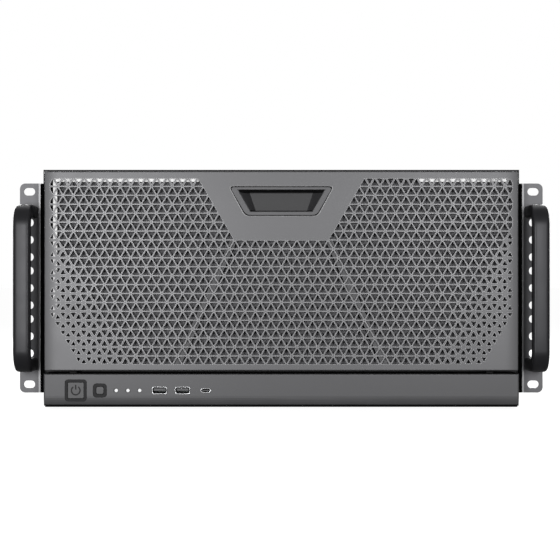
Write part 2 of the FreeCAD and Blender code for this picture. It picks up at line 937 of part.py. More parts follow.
def make_buttons():
    for label, x, width, ring in buttons:
        body = new_body(label)
        cap = sketch(body, "XZ_Plane", -face)
        rectangle(cap, around(x, width), around(control_z, width))
        pad(body, cap, dim.button_length, reverse=True)
        stem = sketch(body, "XZ_Plane", -face - dim.button_length)
        rectangle(stem, around(x, dim.stem_width), around(control_z, dim.stem_width))
        tip = io_board_front - dim.switch_depth + dim.stem_reach
        pad(body, stem, tip - face - dim.button_length, reverse=True)
        node(label, body)


def make_button_switches():
    switches = []
    for label, x, width, ring in buttons:
        y = (io_board_front - dim.switch_depth, io_board_front)
        case = block(around(x, dim.switch_size), y, around(control_z, dim.switch_size))
        width = dim.stem_width + dim.pin_clearance * 2
        well = block(around(x, width), (y[0] - dim.overrun, y[0] + dim.switch_well),
                     around(control_z, width))
        switches.append(cut(case, well))
    return node("button_switches", group(*switches))


def make_light_pipes():
    pipes = [peg("y", (x, control_z), (face, io_board_front), dim.led_radius) for x in led_xs]
    return node("led_light_pipes", group(*pipes))


def make_sockets():
    depth = (face, io_board_front)
    cavity = (front_of_face, io_board_front - dim.small_usb_wall)
    tongue = (face + dim.tongue_set, io_board_front - dim.small_usb_wall)
    shells = []
    tongues = []
    for x in usb_xs:
        shells.append(cut(
            block(around(x, dim.usb_width), depth, around(control_z, dim.usb_height)),
            block(around(x, dim.usb_slot_width), cavity, around(control_z, dim.usb_slot_height)),
        ))
        tongues.append(block(around(x, dim.tongue_width), tongue,
                             (control_z, control_z + dim.tongue_thick)))
    node("usb_a_shells", group(*shells))

    body = new_body("SmallSocket")
    outline = sketch(body, "XZ_Plane", -face)
    clipped_slot(outline, small_usb_x, control_z, dim.small_usb_width, dim.small_usb_height)
    pad(body, outline, dim.bezel_depth - dim.io_board_back, reverse=True)
    mouth = sketch(body, "XZ_Plane", -face)
    wall = dim.small_usb_wall * 2
    clipped_slot(mouth, small_usb_x, control_z, dim.small_usb_width - wall, dim.small_usb_height - wall)
    pocket(body, mouth, dim.bezel_depth - dim.io_board_back - dim.small_usb_wall)
    node("usb_c_shell", body)
    tongues.append(block(around(small_usb_x, dim.small_tongue_width), tongue,
                         around(control_z, dim.small_tongue_thick)))
    node("usb_tongues", group(*tongues))


def make_io_board():
    board = block(io_board_span, (io_board_front, io_board_back), around(control_z, dim.io_board_height))
    return node("front_io_board", board)


# Door

def panel_outline():
    left, right = -bezel_half.value, bezel_half.value
    low, high = door_low.value, door_top.value
    sheet = Part.makeBox(right - left, dim.panel_thick.value, high - low, V(left, face.value, low))
    corners = [edge for edge in sheet.Edges if runs_along(edge, V(0, 1, 0))]
    return sheet.makeFillet(dim.panel_corner.value, corners)


def cell_scale(x, z):
    """Share of full size at this place: cells shrink towards the sides and the lower corners."""
    edge = bezel_half.value - dim.grille_side_margin.value - abs(x)
    level = door_top.value - dim.fade_drop.value
    width = dim.fade_width.value + max(0.0, level - z) * dim.fade_slope.value
    share = min(1.0, max(0.0, edge / width))
    return dim.smallest_cell.value + (1 - dim.smallest_cell.value) * share


def in_plain_field(x, z):
    down = (door_top.value - dim.grille_top_margin.value - z) / dim.plain_height.value
    if down > 1:
        return False
    top, bottom = dim.plain_top_width.value / 2, dim.plain_bottom_width.value / 2
    return abs(x) < top + (bottom - top) * down


def in_corner(x, z):
    rise = z - door_low.value - dim.grille_bottom_margin.value
    cut_in = dim.corner_cut_width.value - rise / math.sqrt(3)
    return bezel_half.value - dim.grille_side_margin.value - abs(x) < cut_in


def grille_cells():
    low = door_low.value + dim.grille_bottom_margin.value
    high = door_top.value - dim.grille_top_margin.value
    rows = int(dim.grille_rows.value)
    rise = (high - low) / rows
    pitch = rise * 2 / math.sqrt(3)
    reach = bezel_half.value - dim.grille_side_margin.value
    columns = int(reach / pitch) + 2
    inscribed = rise / 3
    for row in range(rows):
        for half_step in range(-2 * columns, 2 * columns + 1):
            points_up = (half_step + row) % 2 == 0
            x = half_step * pitch / 2
            z = low + rise * row + (inscribed if points_up else rise - inscribed)
            if abs(x) + pitch / 2 > reach or in_plain_field(x, z) or in_corner(x, z):
                continue
            radius = 2 * (inscribed - dim.grille_strut.value / 2) * cell_scale(x, z)
            yield x, z, radius, points_up


def triangle(x, z, radius, points_up):
    first = 90 if points_up else 270
    corners = []
    for k in range(4):
        angle = math.radians(first + 120 * k)
        corners.append(V(x + radius * math.cos(angle), face.value, z + radius * math.sin(angle)))
    return Part.makePolygon(corners)


def cup_outline(inset, y):
    """Trapezoid of the cup's mouth in the plane at y, drawn in by the inset."""
    return trapezoid(dim.cup_top_width / 2 - inset, dim.cup_bottom_width / 2 - inset, as_size(inset), y)


def cup_back(outset, y):
    """Trapezoid of the pocket's back in the plane at y, drawn out by the outset."""
    return trapezoid(dim.cup_back_top_width / 2 + outset, dim.cup_back_bottom_width / 2 + outset,
                     dim.cup_rim - outset, y)


def trapezoid(wide, narrow, inset, y):
    top = door_top - dim.cup_drop - inset
    low = door_top - dim.cup_drop - dim.cup_height + inset
    corners = [(-wide, top), (-narrow, low), (narrow, low), (wide, top), (-wide, top)]
    return Part.makePolygon([V(x.value, as_size(y).value, z.value) for x, z in corners])


def make_door_panel():
    plate = panel_outline()
    front = min(plate.Faces, key=lambda side: side.CenterOfMass.y)
    openings = [triangle(*cell) for cell in grille_cells()] + [cup_outline(-dim.cup_seat, face)]
    pierced = Part.Face([front.OuterWire] + openings)
    pierced.validate()
    solid = pierced.extrude(V(0, dim.panel_thick.value, 0))
    reach = (bezel_half + dim.overrun).value
    low, bevel = door_low.value, dim.door_bevel.value
    corners = [V(-reach, face.value + back, low + up) for back, up in ((0, 0), (bevel, 0), (0, bevel))]
    wedge = Part.Face(Part.makePolygon(corners + corners[:1])).extrude(V(2 * reach, 0, 0))
    return node("door_panel", shaped("GrillePanel", solid.cut(wedge)))


def make_door_frame():
    depth = (panel_back, rim_back)
    inner = bezel_half - dim.mould_wall
    rim = cut(
        block((-bezel_half, bezel_half), depth, (door_low, door_top)),
        block((-inner, inner), (face, 0), (door_low + dim.mould_wall, door_top - dim.mould_wall)),
    )
    gap = dim.lug_width / 2 + dim.lug_gap
    boss_top = hinge_z + dim.hinge_pin_radius + dim.boss_wall
    boss_y = (panel_back, hinge_y + dim.hinge_pin_radius + dim.boss_wall)
    pieces = [rim]
    bosses = block(around(hinge_x, gap * 2 + dim.boss_length * 2), boss_y, (door_low, boss_top))
    post = block(around(catch_x, dim.stud_post), (panel_back, filter_y[0]),
                 (catch_z - dim.stud_post / 2, door_top - dim.mould_wall / 2))
    rib = make_rib()
    for piece in (bosses, post, rib):
        pieces += [piece, mirrored(piece)]
    notch_y = (panel_back - dim.overrun, lug_y + dim.lug_gap)
    notch_z = (door_low - dim.overrun, boss_top + dim.overrun)
    cuts = []
    for side in (-1, 1):
        x = hinge_x * side
        cuts.append(block(around(x, gap * 2), notch_y, notch_z))
        cuts.append(peg("x", (hinge_y, hinge_z), around(x, gap * 2 + dim.boss_length * 4),
                        pin_bore, HUB_SIDES))
        cuts.append(peg("y", (catch_x * side, catch_z), (panel_back + dim.overrun, 0),
                        dim.stud_radius + dim.pin_clearance))
    return node("door_frame", cut(fuse(*pieces), *cuts))


filter_front = face + dim.cup_depth + dim.slide_gap
filter_y = (filter_front, filter_front + dim.filter_frame_depth)


def make_rib():
    """Diagonal rib from the plain field's lower corner out to the door's lower edge."""
    body = new_body("Rib")
    drawing = sketch(body, "XZ_Plane", -panel_back)
    top = door_top - dim.grille_top_margin - dim.plain_height
    low = door_low + dim.mould_wall
    polygon(drawing, [
        (dim.rib_head, top), (dim.rib_foot, low), (dim.rib_foot + dim.rib_width, low),
        (dim.rib_head + dim.rib_width, top),
    ])
    pad(body, drawing, filter_y[0] - panel_back, reverse=True)
    return body


def tapered(mouth, back):
    """Solid between two four-cornered outlines, each side folded along its diagonal to stay flat."""
    faces = [Part.Face(mouth), Part.Face(back)]
    front, rear = ([v.Point for v in wire.OrderedVertexes] for wire in (mouth, back))
    for k in range(len(front)):
        a, b, c, d = front[k - 1], front[k], rear[k], rear[k - 1]
        faces += [Part.Face(Part.makePolygon(list(loop))) for loop in ((a, b, d, a), (b, c, d, b))]
    return Part.Solid(Part.Shell(faces))


def make_finger_cup():
    """Flange let into the panel, and a pocket whose sides draw together towards its back."""
    pocket_back = face + dim.cup_depth
    floor = pocket_back - dim.cup_wall
    wall = dim.cup_wall
    flange = Part.Face(cup_outline(0, face)).extrude(V(0, dim.panel_thick.value, 0))
    outer = tapered(cup_outline(dim.cup_rim - wall, panel_back - wall), cup_back(wall, pocket_back))
    hollow = tapered(cup_outline(dim.cup_rim, face), cup_back(as_size(0), floor))
    return node("finger_cup", shaped("FingerCup", flange.fuse(outer).cut(hollow).removeSplitter()))


def filter_span():
    half = bezel_half - dim.mould_wall - dim.filter_gap
    return (-half, half), (door_low + dim.filter_lift, door_top - dim.mould_wall - dim.filter_gap)


def make_filter():
    x, z = filter_span()
    bar = dim.filter_bar
    frame = block(x, filter_y, z)
    through = (filter_y[0] - dim.overrun, filter_y[1] + dim.overrun)
    window = block((x[0] + bar, x[1] - bar), through, (z[0] + bar, z[1] - bar))
    middle = block(around(as_size(0), bar), filter_y, (z[0] + bar / 2, z[1] - bar / 2))
    posts = [peg("y", (catch_x * side, catch_z), through, dim.stud_radius + dim.filter_gap)
             for side in (-1, 1)]
    net_y = around((filter_y[0] + filter_y[1]) / 2, dim.filter_net_thick)
    groove_x = (x[0] + bar / 2, x[1] - bar / 2)
    groove_z = (z[0] + bar / 2, z[1] - bar / 2)
    groove = block(groove_x, net_y, groove_z)
    node("filter_frame", cut(fuse(cut(frame, window), middle), groove, *posts))
    net = block(groove_x, net_y, groove_z)
    node("filter_net", cut(net, *posts))


def make_hinge_pins():
    length = dim.lug_width + dim.lug_gap * 2 + dim.boss_length * 2
    pins = [rod("x", (hinge_y, hinge_z), around(hinge_x * side, length), dim.hinge_pin_radius)
            for side in (-1, 1)]
    return node("hinge_pins", group(*pins))


ball_y = -dim.catch_depth / 2


def make_catches():
    studs = []
    clips = []
    for side in (-1, 1):
        x = catch_x * side
        head = peg("y", (x, catch_z), around(ball_y, dim.ball_radius * 2), dim.ball_radius)
        shank = peg("y", (x, catch_z), (panel_back + dim.overrun, ball_y), dim.stud_radius)
        studs.append(fuse(head, shank))
        mouth = (dim.ball_radius + dim.catch_gap) * 2
        height = around(catch_z, dim.ball_radius * 2)
        base = block(around(x, mouth + dim.catch_wall * 2), (-dim.catch_depth, 0), height)
        clips.append(cut(base, block(around(x, mouth), (-dim.catch_depth - dim.overrun, -dim.sheet),
                                     around(catch_z, dim.ball_radius * 3))))
    node("door_ball_studs", group(*studs))
    node("catch_clips", group(*clips))


# Fans

FACING_FRONT = FreeCAD.Rotation(V(1, 0, 0), 90)
FACING_LEFT = FreeCAD.Rotation(V(0, 1, 0), -90)
shaft_bore = bore_round(dim.shaft_radius)


def fan_frame(size, depth, hub):
    """Square duct with a motor base on struts at its back, along local Z from the back face."""
    body = new_body("FanFrame")
    outline = sketch(body, "XY_Plane")
    rectangle(outline, around(as_size(0), size), around(as_size(0), size))
    pad(body, outline, depth)
    duct = sketch(body, "XY_Plane", depth)
    ring(duct, size / 2 - dim.fan_wall, DUCT_SIDES)
    pocket(body, duct, depth)
    base = sketch(body, "XY_Plane")
    ring(base, hub, HUB_SIDES)
    pad(body, base, dim.fan_base)
    arm = sketch(body, "XY_Plane")
    rectangle(arm, (hub / 2, size / 2 - dim.fan_wall / 2), around(as_size(0), dim.fan_strut))
    polar(body, pad(body, arm, dim.fan_base), int(dim.fan_strut_count.value))
    bore = sketch(body, "XY_Plane", dim.fan_base)
    ring(bore, shaft_bore, HUB_SIDES)
    pocket(body, bore, dim.fan_base)
    return body


def blade_section(body, radius, chord, middle):
    drawing = sketch(body, "YZ_Plane", radius)
    lean = math.radians(dim.blade_pitch.value)
    run, rise = math.cos(lean), math.sin(lean)
    long, thin = chord / 2, dim.blade_thick / 2
    corners = []
    for along, across in ((-1, -1), (1, -1), (1, 1), (-1, 1)):
        y = long * (along * run) - thin * (across * rise)
        z = middle + long * (along * rise) + thin * (across * run)
        corners.append((y, z))
    polygon(drawing, corners)
    return drawing


def fan_rotor(sweep, hub, depth, chord, blades):
    """Hub on a shaft with pitched blades, along local Z from the back of the motor base."""
    body = new_body("FanRotor")
    low = dim.fan_base + dim.fan_base_gap
    high = depth - dim.fan_face_gap
    cap = sketch(body, "XY_Plane", low)
    ring(cap, hub, HUB_SIDES)
    pad(body, cap, high - low)
    middle = (low + high) / 2
    foot = root(hub * hub - chord * chord / 4)
    tip = root(sweep * sweep - chord * chord / 4)
    polar(body, pad(body, blade_section(body, foot, chord, middle), tip - foot), int(blades.value))
    shaft = sketch(body, "XY_Plane", low)
    circle(shaft, dim.shaft_radius)
    pad(body, shaft, low, reverse=True)
    return body


def make_front_fans():
    tip = dim.front_fan / 2 - dim.fan_wall - dim.fan_tip_gap
    for side, x in zip(("left", "right"), fan_centres()):
        frame = fan_frame(dim.front_fan, dim.front_fan_depth, dim.front_fan_hub)
        rotor = fan_rotor(tip, dim.front_fan_hub, dim.front_fan_depth,
                          dim.blade_chord, dim.front_fan_blades)
        for piece, kind in ((frame, "frame"), (rotor, "rotor")):
            place(piece, x, fans_back, front_fan_z, rotation=FACING_FRONT)
            node(f"front_fan_{side}_{kind}", piece)


def make_small_fan(prefix, x, back, z):
    tip = dim.small_fan / 2 - dim.fan_wall - dim.fan_tip_gap
    frame = fan_frame(dim.small_fan, dim.small_fan_depth, dim.small_fan_hub)
    rotor = fan_rotor(tip, dim.small_fan_hub, dim.small_fan_depth,
                      dim.small_blade_chord, dim.small_fan_blades)
    for piece, kind in ((frame, "frame"), (rotor, "rotor")):
        place(piece, x, back, z, rotation=FACING_FRONT)
        node(f"{prefix}_fan_{kind}", piece)


def make_rear_fan_guard():
    y = (body_depth, body_depth + dim.guard_thick)
    clear = (body_depth - dim.overrun, body_depth + dim.guard_thick + dim.overrun)
    centre = (rear_fan_x, rear_fan_z)
    count = int(dim.guard_rings.value)
    step = (dim.small_fan / 2 - dim.fan_wall) / count
    rings = []
    for k in range(1, count + 1):
        outer = peg("y", centre, y, step * k + dim.guard_wire, GUARD_SIDES)
        rings.append(cut(outer, peg("y", centre, clear, step * k, GUARD_SIDES)))
    reach = dim.small_fan - dim.fan_wall * 2 + dim.guard_wire
    spokes = [
        block(around(rear_fan_x, reach), y, around(rear_fan_z, dim.guard_wire)),
        block(around(rear_fan_x, dim.guard_wire), y, around(rear_fan_z, reach)),
    ]
    return node("rear_fan_guard", fuse(*rings, *spokes))


# Motherboard and what stands on it

# Standoff rows as shares of the board's width and length
STANDOFFS_ACROSS = (0.03, 0.5, 0.97)
STANDOFFS_ALONG = (0.04, 0.5, 0.93)
standoff_places = [
    (board_left + dim.board_width * across, board_front + dim.board_length * along)
    for across in STANDOFFS_ACROSS for along in STANDOFFS_ALONG
]
cpu_x = board_right - dim.cpu_inset
cpu_y = board_rear - dim.cpu_back
module_x = board_right - dim.module_inset - dim.module_length / 2
module_ys = [board_front + dim.module_front + dim.module_pitch * k for k in range(4)]
card_x = slot_xs[-1]
socket_rear = board_rear - dim.card_socket_length / 2


def make_motherboard():
    board = block((board_left, board_right), (board_front, board_rear), (board_low, board_top))
    node("motherboard", board)
    posts = [peg("z", spot, (dim.sheet, board_low), dim.standoff_radius, PEG_SIDES - 2)
             for spot in standoff_places]
    node("board_standoffs", group(*posts))


def make_board_sockets():
    sockets = [block(around(cpu_x, dim.cpu_socket), around(cpu_y, dim.cpu_socket),
                     (board_top, board_top + dim.cpu_socket_thick))]
    for y in module_ys:
        base = block(around(module_x, dim.module_length + dim.module_thick * 2),
                     around(y, dim.module_socket_width), (board_top, board_top + dim.module_socket_height))
        slot = block(around(module_x, dim.module_length + dim.card_fit * 2),
                     around(y, dim.module_thick + dim.card_fit * 2),
                     (slot_low, board_top + dim.module_socket_height + dim.overrun))
        sockets.append(cut(base, slot))
    y = (socket_rear - dim.card_socket_length, socket_rear)
    for x in slot_xs[-1::-2]:
        base = block(around(x, dim.card_socket_width), y, (board_top, board_top + dim.card_socket_height))
        slot = block(around(x, dim.card_thick + dim.card_fit * 2),
                     (y[0] + dim.card_thick, y[1] - dim.card_thick),
                     (slot_low, board_top + dim.card_socket_height + dim.overrun))
        sockets.append(cut(base, slot))
    return node("board_sockets", group(*sockets))


def make_memory_modules():
    modules = [block(around(module_x, dim.module_length), around(y, dim.module_thick),
                     (slot_low, slot_low + dim.module_height)) for y in module_ys]
    return node("memory_modules", group(*modules))


cooler_low = board_top + dim.cpu_socket_thick
fin_low = board_top + dim.cooler_lift
cooler_front = cpu_y - dim.cooler_depth / 2


def make_cpu_cooler():
    body = new_body("CoolerFins")
    base = sketch(body, "XY_Plane", cooler_low)
    rectangle(base, around(cpu_x, dim.cooler_base), around(cpu_y, dim.cooler_base))
    pad(body, base, dim.cooler_base_thick)
    fins = int(dim.fin_count.value)
    pipe_top = fin_low + dim.fin_pitch * fins
    pipes = sketch(body, "XY_Plane", cooler_low)
    width = dim.pipe_half * 2
    for side in (-1, 1):
        rectangle(pipes, around(cpu_x + dim.pipe_step * side, width), around(cpu_y, width))
    pad(body, pipes, pipe_top - cooler_low)
    fin = sketch(body, "XY_Plane", fin_low)
    rectangle(fin, around(cpu_x, dim.cooler_width), around(cpu_y, dim.cooler_depth))
    linear(body, pad(body, fin, dim.fin_thick), "Z_Axis", dim.fin_pitch, fins)
    node("cpu_cooler_heatsink", body)
    middle = fin_low + dim.fin_pitch * (fins - 1) / 2
    make_small_fan("cpu", cpu_x, cooler_front, middle)


def make_chipset_heatsink():
    x = board_left + dim.board_width / 3
    y = board_front + dim.chipset_size
    body = new_body("ChipsetHeatsink")
    base = sketch(body, "XY_Plane", board_top)
    rectangle(base, around(x, dim.chipset_size), around(y, dim.chipset_size))
    pad(body, base, dim.chipset_height)
    groove = sketch(body, "XZ_Plane", -y - dim.chipset_size)
    count = int(dim.chipset_grooves.value)
    wall = dim.chipset_size / (2 * count + 1)
    first = x - dim.chipset_size / 2 + wall
    rectangle(groove, (first, first + wall),
              (board_top + dim.chipset_height / 3, board_top + dim.chipset_height * 2))
    linear(body, pocket(body, groove, dim.chipset_size * 2, reverse=True), "X_Axis", wall * 2, count)
    return node("chipset_heatsink", body)


# Rear ports: width and height of each connector stack as shares of the opening, from its outer side inwards
PORT_STACKS = [(0.09, 0.34), (0.09, 0.66), (0.09, 0.66), (0.11, 0.78), (0.09, 0.66), (0.16, 0.82)]


def port_boxes():
    boxes = []
    step = dim.io_width / len(PORT_STACKS)
    for number, (wide, tall) in enumerate(PORT_STACKS):
        middle = io_right - step * (number + 0.5)
        boxes.append((around(middle, dim.io_width * wide), (board_top, board_top + dim.io_height * tall)))
    return boxes


def make_rear_ports():
    ports = []
    holes = []
    for x, z in port_boxes():
        ports.append(block(x, (board_rear - dim.port_depth, body_depth + dim.port_proud), z))
        gap = dim.port_gap
        holes.append(block((x[0] - gap, x[1] + gap), (rear_in - dim.overrun, body_depth),
                           (z[0] - gap, z[1] + gap)))
    node("io_port_block", group(*ports))
    plate = block((io_left, io_right), (rear_in, rear_in + dim.shield_lip), (io_low, io_high))
    node("io_shield", cut(plate, *holes))


def make_graphics_card():
    y1 = rear_in - dim.slot_cover_thick
    y0 = y1 - dim.card_length
    top = slot_low + dim.card_height
    pcb = block(around(card_x, dim.card_thick), (y0, y1), (slot_low + dim.card_socket_height, top))
    end_wall = dim.card_thick + dim.card_fit
    edge = block(around(card_x, dim.card_thick),
                 (socket_rear - dim.card_socket_length + end_wall, socket_rear - end_wall),
                 (slot_low, slot_low + dim.card_socket_height * 2))
    node("graphics_card_board", fuse(pcb, edge))

    right = card_x - dim.card_thick / 2
    left = right - dim.card_depth
    low = slot_low + dim.card_socket_height
    wall = dim.card_thick
    blower_y = y0 + dim.card_height / 2
    blower_z = (low + top) / 2
    shell = cut(
        block((left, right), (y0, y1), (low, top)),
        block((left + wall, right + dim.overrun), (y0 + wall, y1 + dim.overrun), (low + wall, top - wall)),
        peg("x", (blower_y, blower_z), (left - dim.overrun, left + wall * 2),
            dim.blower_radius + dim.fan_tip_gap, DUCT_SIDES),
    )
    hub = peg("x", (blower_y, blower_z), (right - dim.fan_base, right), dim.blower_hub, HUB_SIDES)
    bore = peg("x", (blower_y, blower_z), (right - dim.fan_base * 2, right), shaft_bore, HUB_SIDES)
    node("graphics_card_shroud", group(shell, cut(hub, bore)))

    plate = block((card_x - dim.slot_pitch - dim.slot_cover_width / 2, card_x + dim.slot_cover_width / 2),
                  (y1, rear_in), (slot_low - dim.card_lift / 2, slot_high + dim.card_lift))
    node("graphics_card_bracket", plate)

    body = new_body("CardBlower")
    low_face = dim.fan_base + dim.fan_base_gap
    deep = dim.card_depth - dim.card_thick - dim.fan_face_gap
    disc = sketch(body, "XY_Plane", low_face)
    ring(disc, dim.blower_radius, DUCT_SIDES)
    pad(body, disc, dim.blade_thick)
    hub_cap = sketch(body, "XY_Plane", low_face)
    ring(hub_cap, dim.blower_hub, HUB_SIDES)
    pad(body, hub_cap, deep - low_face)
    vane = sketch(body, "XY_Plane", low_face)
    rim = dim.blower_radius * math.cos(math.pi / DUCT_SIDES)
    rectangle(vane, (rim - dim.vane_length, rim), around(as_size(0), dim.blade_thick))
    polar(body, pad(body, vane, deep - low_face), int(dim.vane_count.value))
    shaft = sketch(body, "XY_Plane", low_face)
    circle(shaft, dim.shaft_radius)
    pad(body, shaft, low_face, reverse=True)
    place(body, right, blower_y, blower_z, rotation=FACING_LEFT)
    node("graphics_card_rotor", body)


def make_slot_covers():
    covers = []
    for x in slot_xs[:-2]:
        covers.append(block(around(x, dim.slot_cover_width), (rear_in - dim.slot_cover_thick, rear_in),
                            (slot_low - dim.card_lift / 2, slot_high + dim.card_lift)))
    return node("slot_covers", group(*covers))


# Power supply

inlet_z = psu_low + dim.inlet_rise
rocker_z = psu_low + dim.rocker_rise
psu_fan_y = psu_front + dim.psu_length / 2
psu_fan_z = (psu_low + psu_top) / 2
rocker_y = rear_in - dim.rocker_radius / 2


def make_power_supply():
    wall = dim.psu_wall
    through = (rear_in - wall - dim.overrun, rear_in + dim.overrun)
    case = cut(
        block((psu_left, psu_right), (psu_front, rear_in), (psu_low, psu_top)),
        block((psu_left + wall, psu_right - wall), (psu_front + wall, rear_in - wall),
              (psu_low + wall, psu_top - wall)),
        peg("x", (psu_fan_y, psu_fan_z), (psu_left - wall, psu_left + wall * 2),
            dim.psu_fan_radius + dim.fan_tip_gap, DUCT_SIDES),
        block(around(psu_mid, dim.inlet_width), through, around(inlet_z, dim.inlet_height)),
        block(around(psu_mid, dim.rocker_width + dim.rocker_gap * 2), through,
              around(rocker_z, (dim.rocker_radius + dim.rocker_gap) * 2)),
        *psu_vents(through),
    )
    motor_face = psu_left + dim.small_fan_depth
    motor_x = (motor_face - dim.fan_base, motor_face)
    motor = peg("x", (psu_fan_y, psu_fan_z), motor_x, dim.psu_fan_hub, HUB_SIDES)
    arms = block(motor_x, around(psu_fan_y, dim.fan_strut), (psu_low, psu_top))
    bore = peg("x", (psu_fan_y, psu_fan_z), (motor_x[0] - dim.overrun, motor_face + dim.overrun),
               shaft_bore, HUB_SIDES)
    node("psu_case", fuse(case, cut(fuse(motor, arms), bore)))

    rotor = fan_rotor(dim.psu_fan_radius, dim.psu_fan_hub, dim.small_fan_depth,
                      dim.small_blade_chord, dim.small_fan_blades)
    place(rotor, motor_face, psu_fan_y, psu_fan_z, rotation=FACING_LEFT)
    node("psu_fan_rotor", rotor)


def psu_vents(through):
    x = (psu_left + dim.vent_inset, psu_right - dim.vent_inset)
    lows = [psu_low + dim.vent_rise + dim.vent_pitch * k for k in range(int(dim.vent_count.value))]
    return [block(x, through, (low, low + dim.vent_height)) for low in lows]


def make_psu_inlet():
    wall = dim.inlet_wall
    y0 = rear_in - dim.inlet_depth
    shell = cut(
        block(around(psu_mid, dim.inlet_width), (y0, rear_in), around(inlet_z, dim.inlet_height)),
        block(around(psu_mid, dim.inlet_width - wall * 2), (y0 + wall, rear_in + dim.overrun),
              around(inlet_z, dim.inlet_height - wall * 2)),
    )
    pins = []
    for side in (-1, 0, 1):
        x = psu_mid - dim.inlet_pin_back * abs(side)
        z = inlet_z + dim.inlet_pin_spread * side
        pins.append(block(around(x, dim.inlet_pin_width), (y0, rear_in - dim.inlet_pin_set),
                          around(z, dim.inlet_pin_height)))
    return node("psu_inlet", fuse(shell, *pins))


def make_psu_switch():
    x = around(psu_mid, dim.rocker_width)
    barrel = rod("x", (rocker_y, rocker_z), x, dim.rocker_radius)
    reach = dim.rocker_radius * 2
    trim = block((psu_mid - reach, psu_mid + reach), (0, reach), (-reach, reach))
    tilt = FreeCAD.Rotation(V(1, 0, 0), dim.rocker_tilt.value)
    place(trim, psu_mid - reach, rocker_y + dim.rocker_trim, rocker_z - reach, rotation=tilt)
    return node("psu_switch", cut(barrel, trim))


# Drives

def make_drives():
    cage_right = psu_right
    inner = dim.drive_width + dim.drive_fit * 2
    x = (cage_right - dim.sheet - inner, cage_right - dim.sheet)
    y = (cage_front, cage_back)
    count = int(dim.drive_count.value)
    first = dim.sheet + dim.cage_foot
    top = first + dim.drive_pitch * count
    walls = [
        block((x[0] - dim.sheet, x[0]), y, (dim.sheet, top)),
        block((x[1], x[1] + dim.sheet), y, (dim.sheet, top)),
        block((x[0] - dim.sheet, x[1] + dim.sheet), y, (top, top + dim.sheet)),
    ]
    drives = []
    for k in range(count):
        z = first + dim.drive_pitch * k
        walls.append(block((x[0], x[0] + dim.cage_ledge), y, (z - dim.sheet, z)))
        walls.append(block((x[1] - dim.cage_ledge, x[1]), y, (z - dim.sheet, z)))
        drives.append(block((x[0] + dim.drive_fit, x[1] - dim.drive_fit), y, (z, z + dim.drive_height)))
    node("drive_cage", fuse(*walls))
    node("hard_drives", group(*drives))


# Main power lead from the power supply to the board: flats along each bend, and around the sleeve
LEAD_STEPS = 2
LEAD_SIDES = 6


def make_power_lead():
    plug_right = board_right - dim.lead_plug_inset
    plug_x = (plug_right - dim.lead_plug_width, plug_right)
    plug_front = board_front + dim.lead_plug_front
    plug_y = (plug_front, plug_front + dim.lead_plug_length)
    plug_top = board_top + dim.lead_plug_height
    plug = block(plug_x, plug_y, (board_top, plug_top))
    x0 = ((plug_x[0] + plug_x[1]) / 2).value
    y0 = ((plug_y[0] + plug_y[1]) / 2).value
    z0 = plug_top.value
    x1 = psu_mid.value
    y1 = psu_front.value
    z1 = (psu_low + dim.lead_rise).value
    bend = dim.lead_bend.value
    points = [V(x0, y0, z0), V(x0, y0, z1), V(x1, y0, z1), V(x1, y1, z1)]
    lead = shaped("PowerLead", tube(points, bend, dim.lead_radius.value))
    return node("main_power_lead", group(plug, lead))


def rounded_path(points, bend, steps):
    """Points of a path whose corners are rounded, each with the direction of the path there."""
    path = [(points[0], points[1] - points[0])]
    for before, corner, after in zip(points, points[1:], points[2:]):
        inward = (before - corner).normalize()
        outward = (after - corner).normalize()
        turn = inward.getAngle(outward)
        middle = (inward + outward).normalize()
        centre = corner + middle * (bend / math.sin(turn / 2))
        first = corner + inward * (bend / math.tan(turn / 2)) - centre
        for k in range(steps + 1):
            spin = FreeCAD.Rotation(inward.cross(outward), -math.degrees(math.pi - turn) * k / steps)
            path.append((centre + spin.multVec(first), spin.multVec(-inward)))
    path.append((points[-1], points[-1] - points[-2]))
    return path


def tube(points, bend, radius):
    """Tube of a few flats that starts upwards and follows straight runs with rounded corners."""
    sections = []
    turned = FreeCAD.Rotation()
    before = V(0, 0, 1)
    for point, direction in rounded_path(points, bend, LEAD_STEPS):
        turned = FreeCAD.Rotation(before, direction).multiply(turned)
        before = direction
        corners = []
        for k in range(LEAD_SIDES + 1):
            angle = 2 * math.pi * k / LEAD_SIDES
            spoke = V(radius * math.cos(angle), radius * math.sin(angle), 0)
            corners.append(point + turned.multVec(spoke))
        sections.append(Part.makePolygon(corners))
    return Part.makeLoft(sections, True, True)


make_base_tray()
make_front_bulkhead()
make_rear_panel()
make_top_cover()
make_cover_thumbscrews()
make_cross_brace()
make_ears()
make_handles()
make_control_strip()
make_button_surrounds()
make_buttons()
make_button_switches()
make_light_pipes()
make_sockets()
make_io_board()
make_door_panel()
make_door_frame()
make_finger_cup()
make_filter()
make_hinge_pins()
make_catches()
make_front_fans()
make_small_fan("rear", rear_fan_x, rear_in, rear_fan_z)
make_rear_fan_guard()
make_motherboard()
make_board_sockets()
make_memory_modules()
make_cpu_cooler()
make_chipset_heatsink()
make_rear_ports()
make_graphics_card()
make_slot_covers()
make_power_supply()
make_psu_inlet()
make_psu_switch()
make_drives()
make_power_lead()

# Checks, then one file for each piece
doc.recompute()
for obj in doc.Objects:
    if "Invalid" in obj.State or "Error" in obj.State:
        raise RuntimeError(f"{obj.Name} ({obj.Label}) failed: {obj.State}")
for piece in nodes:
    if piece.Shape.isNull() or not piece.Shape.isValid() or not piece.Shape.Solids:
        raise RuntimeError(f"{piece.Label} has no valid solid")

os.makedirs("parts", exist_ok=True)
for piece in nodes:
    piece.Shape.exportStep(f"parts/{piece.Label}.step")
print(f"{len(nodes)} pieces written")
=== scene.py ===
import bpy
import bmesh
import math
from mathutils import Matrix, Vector
from mathutils.geometry import delaunay_2d_cdt


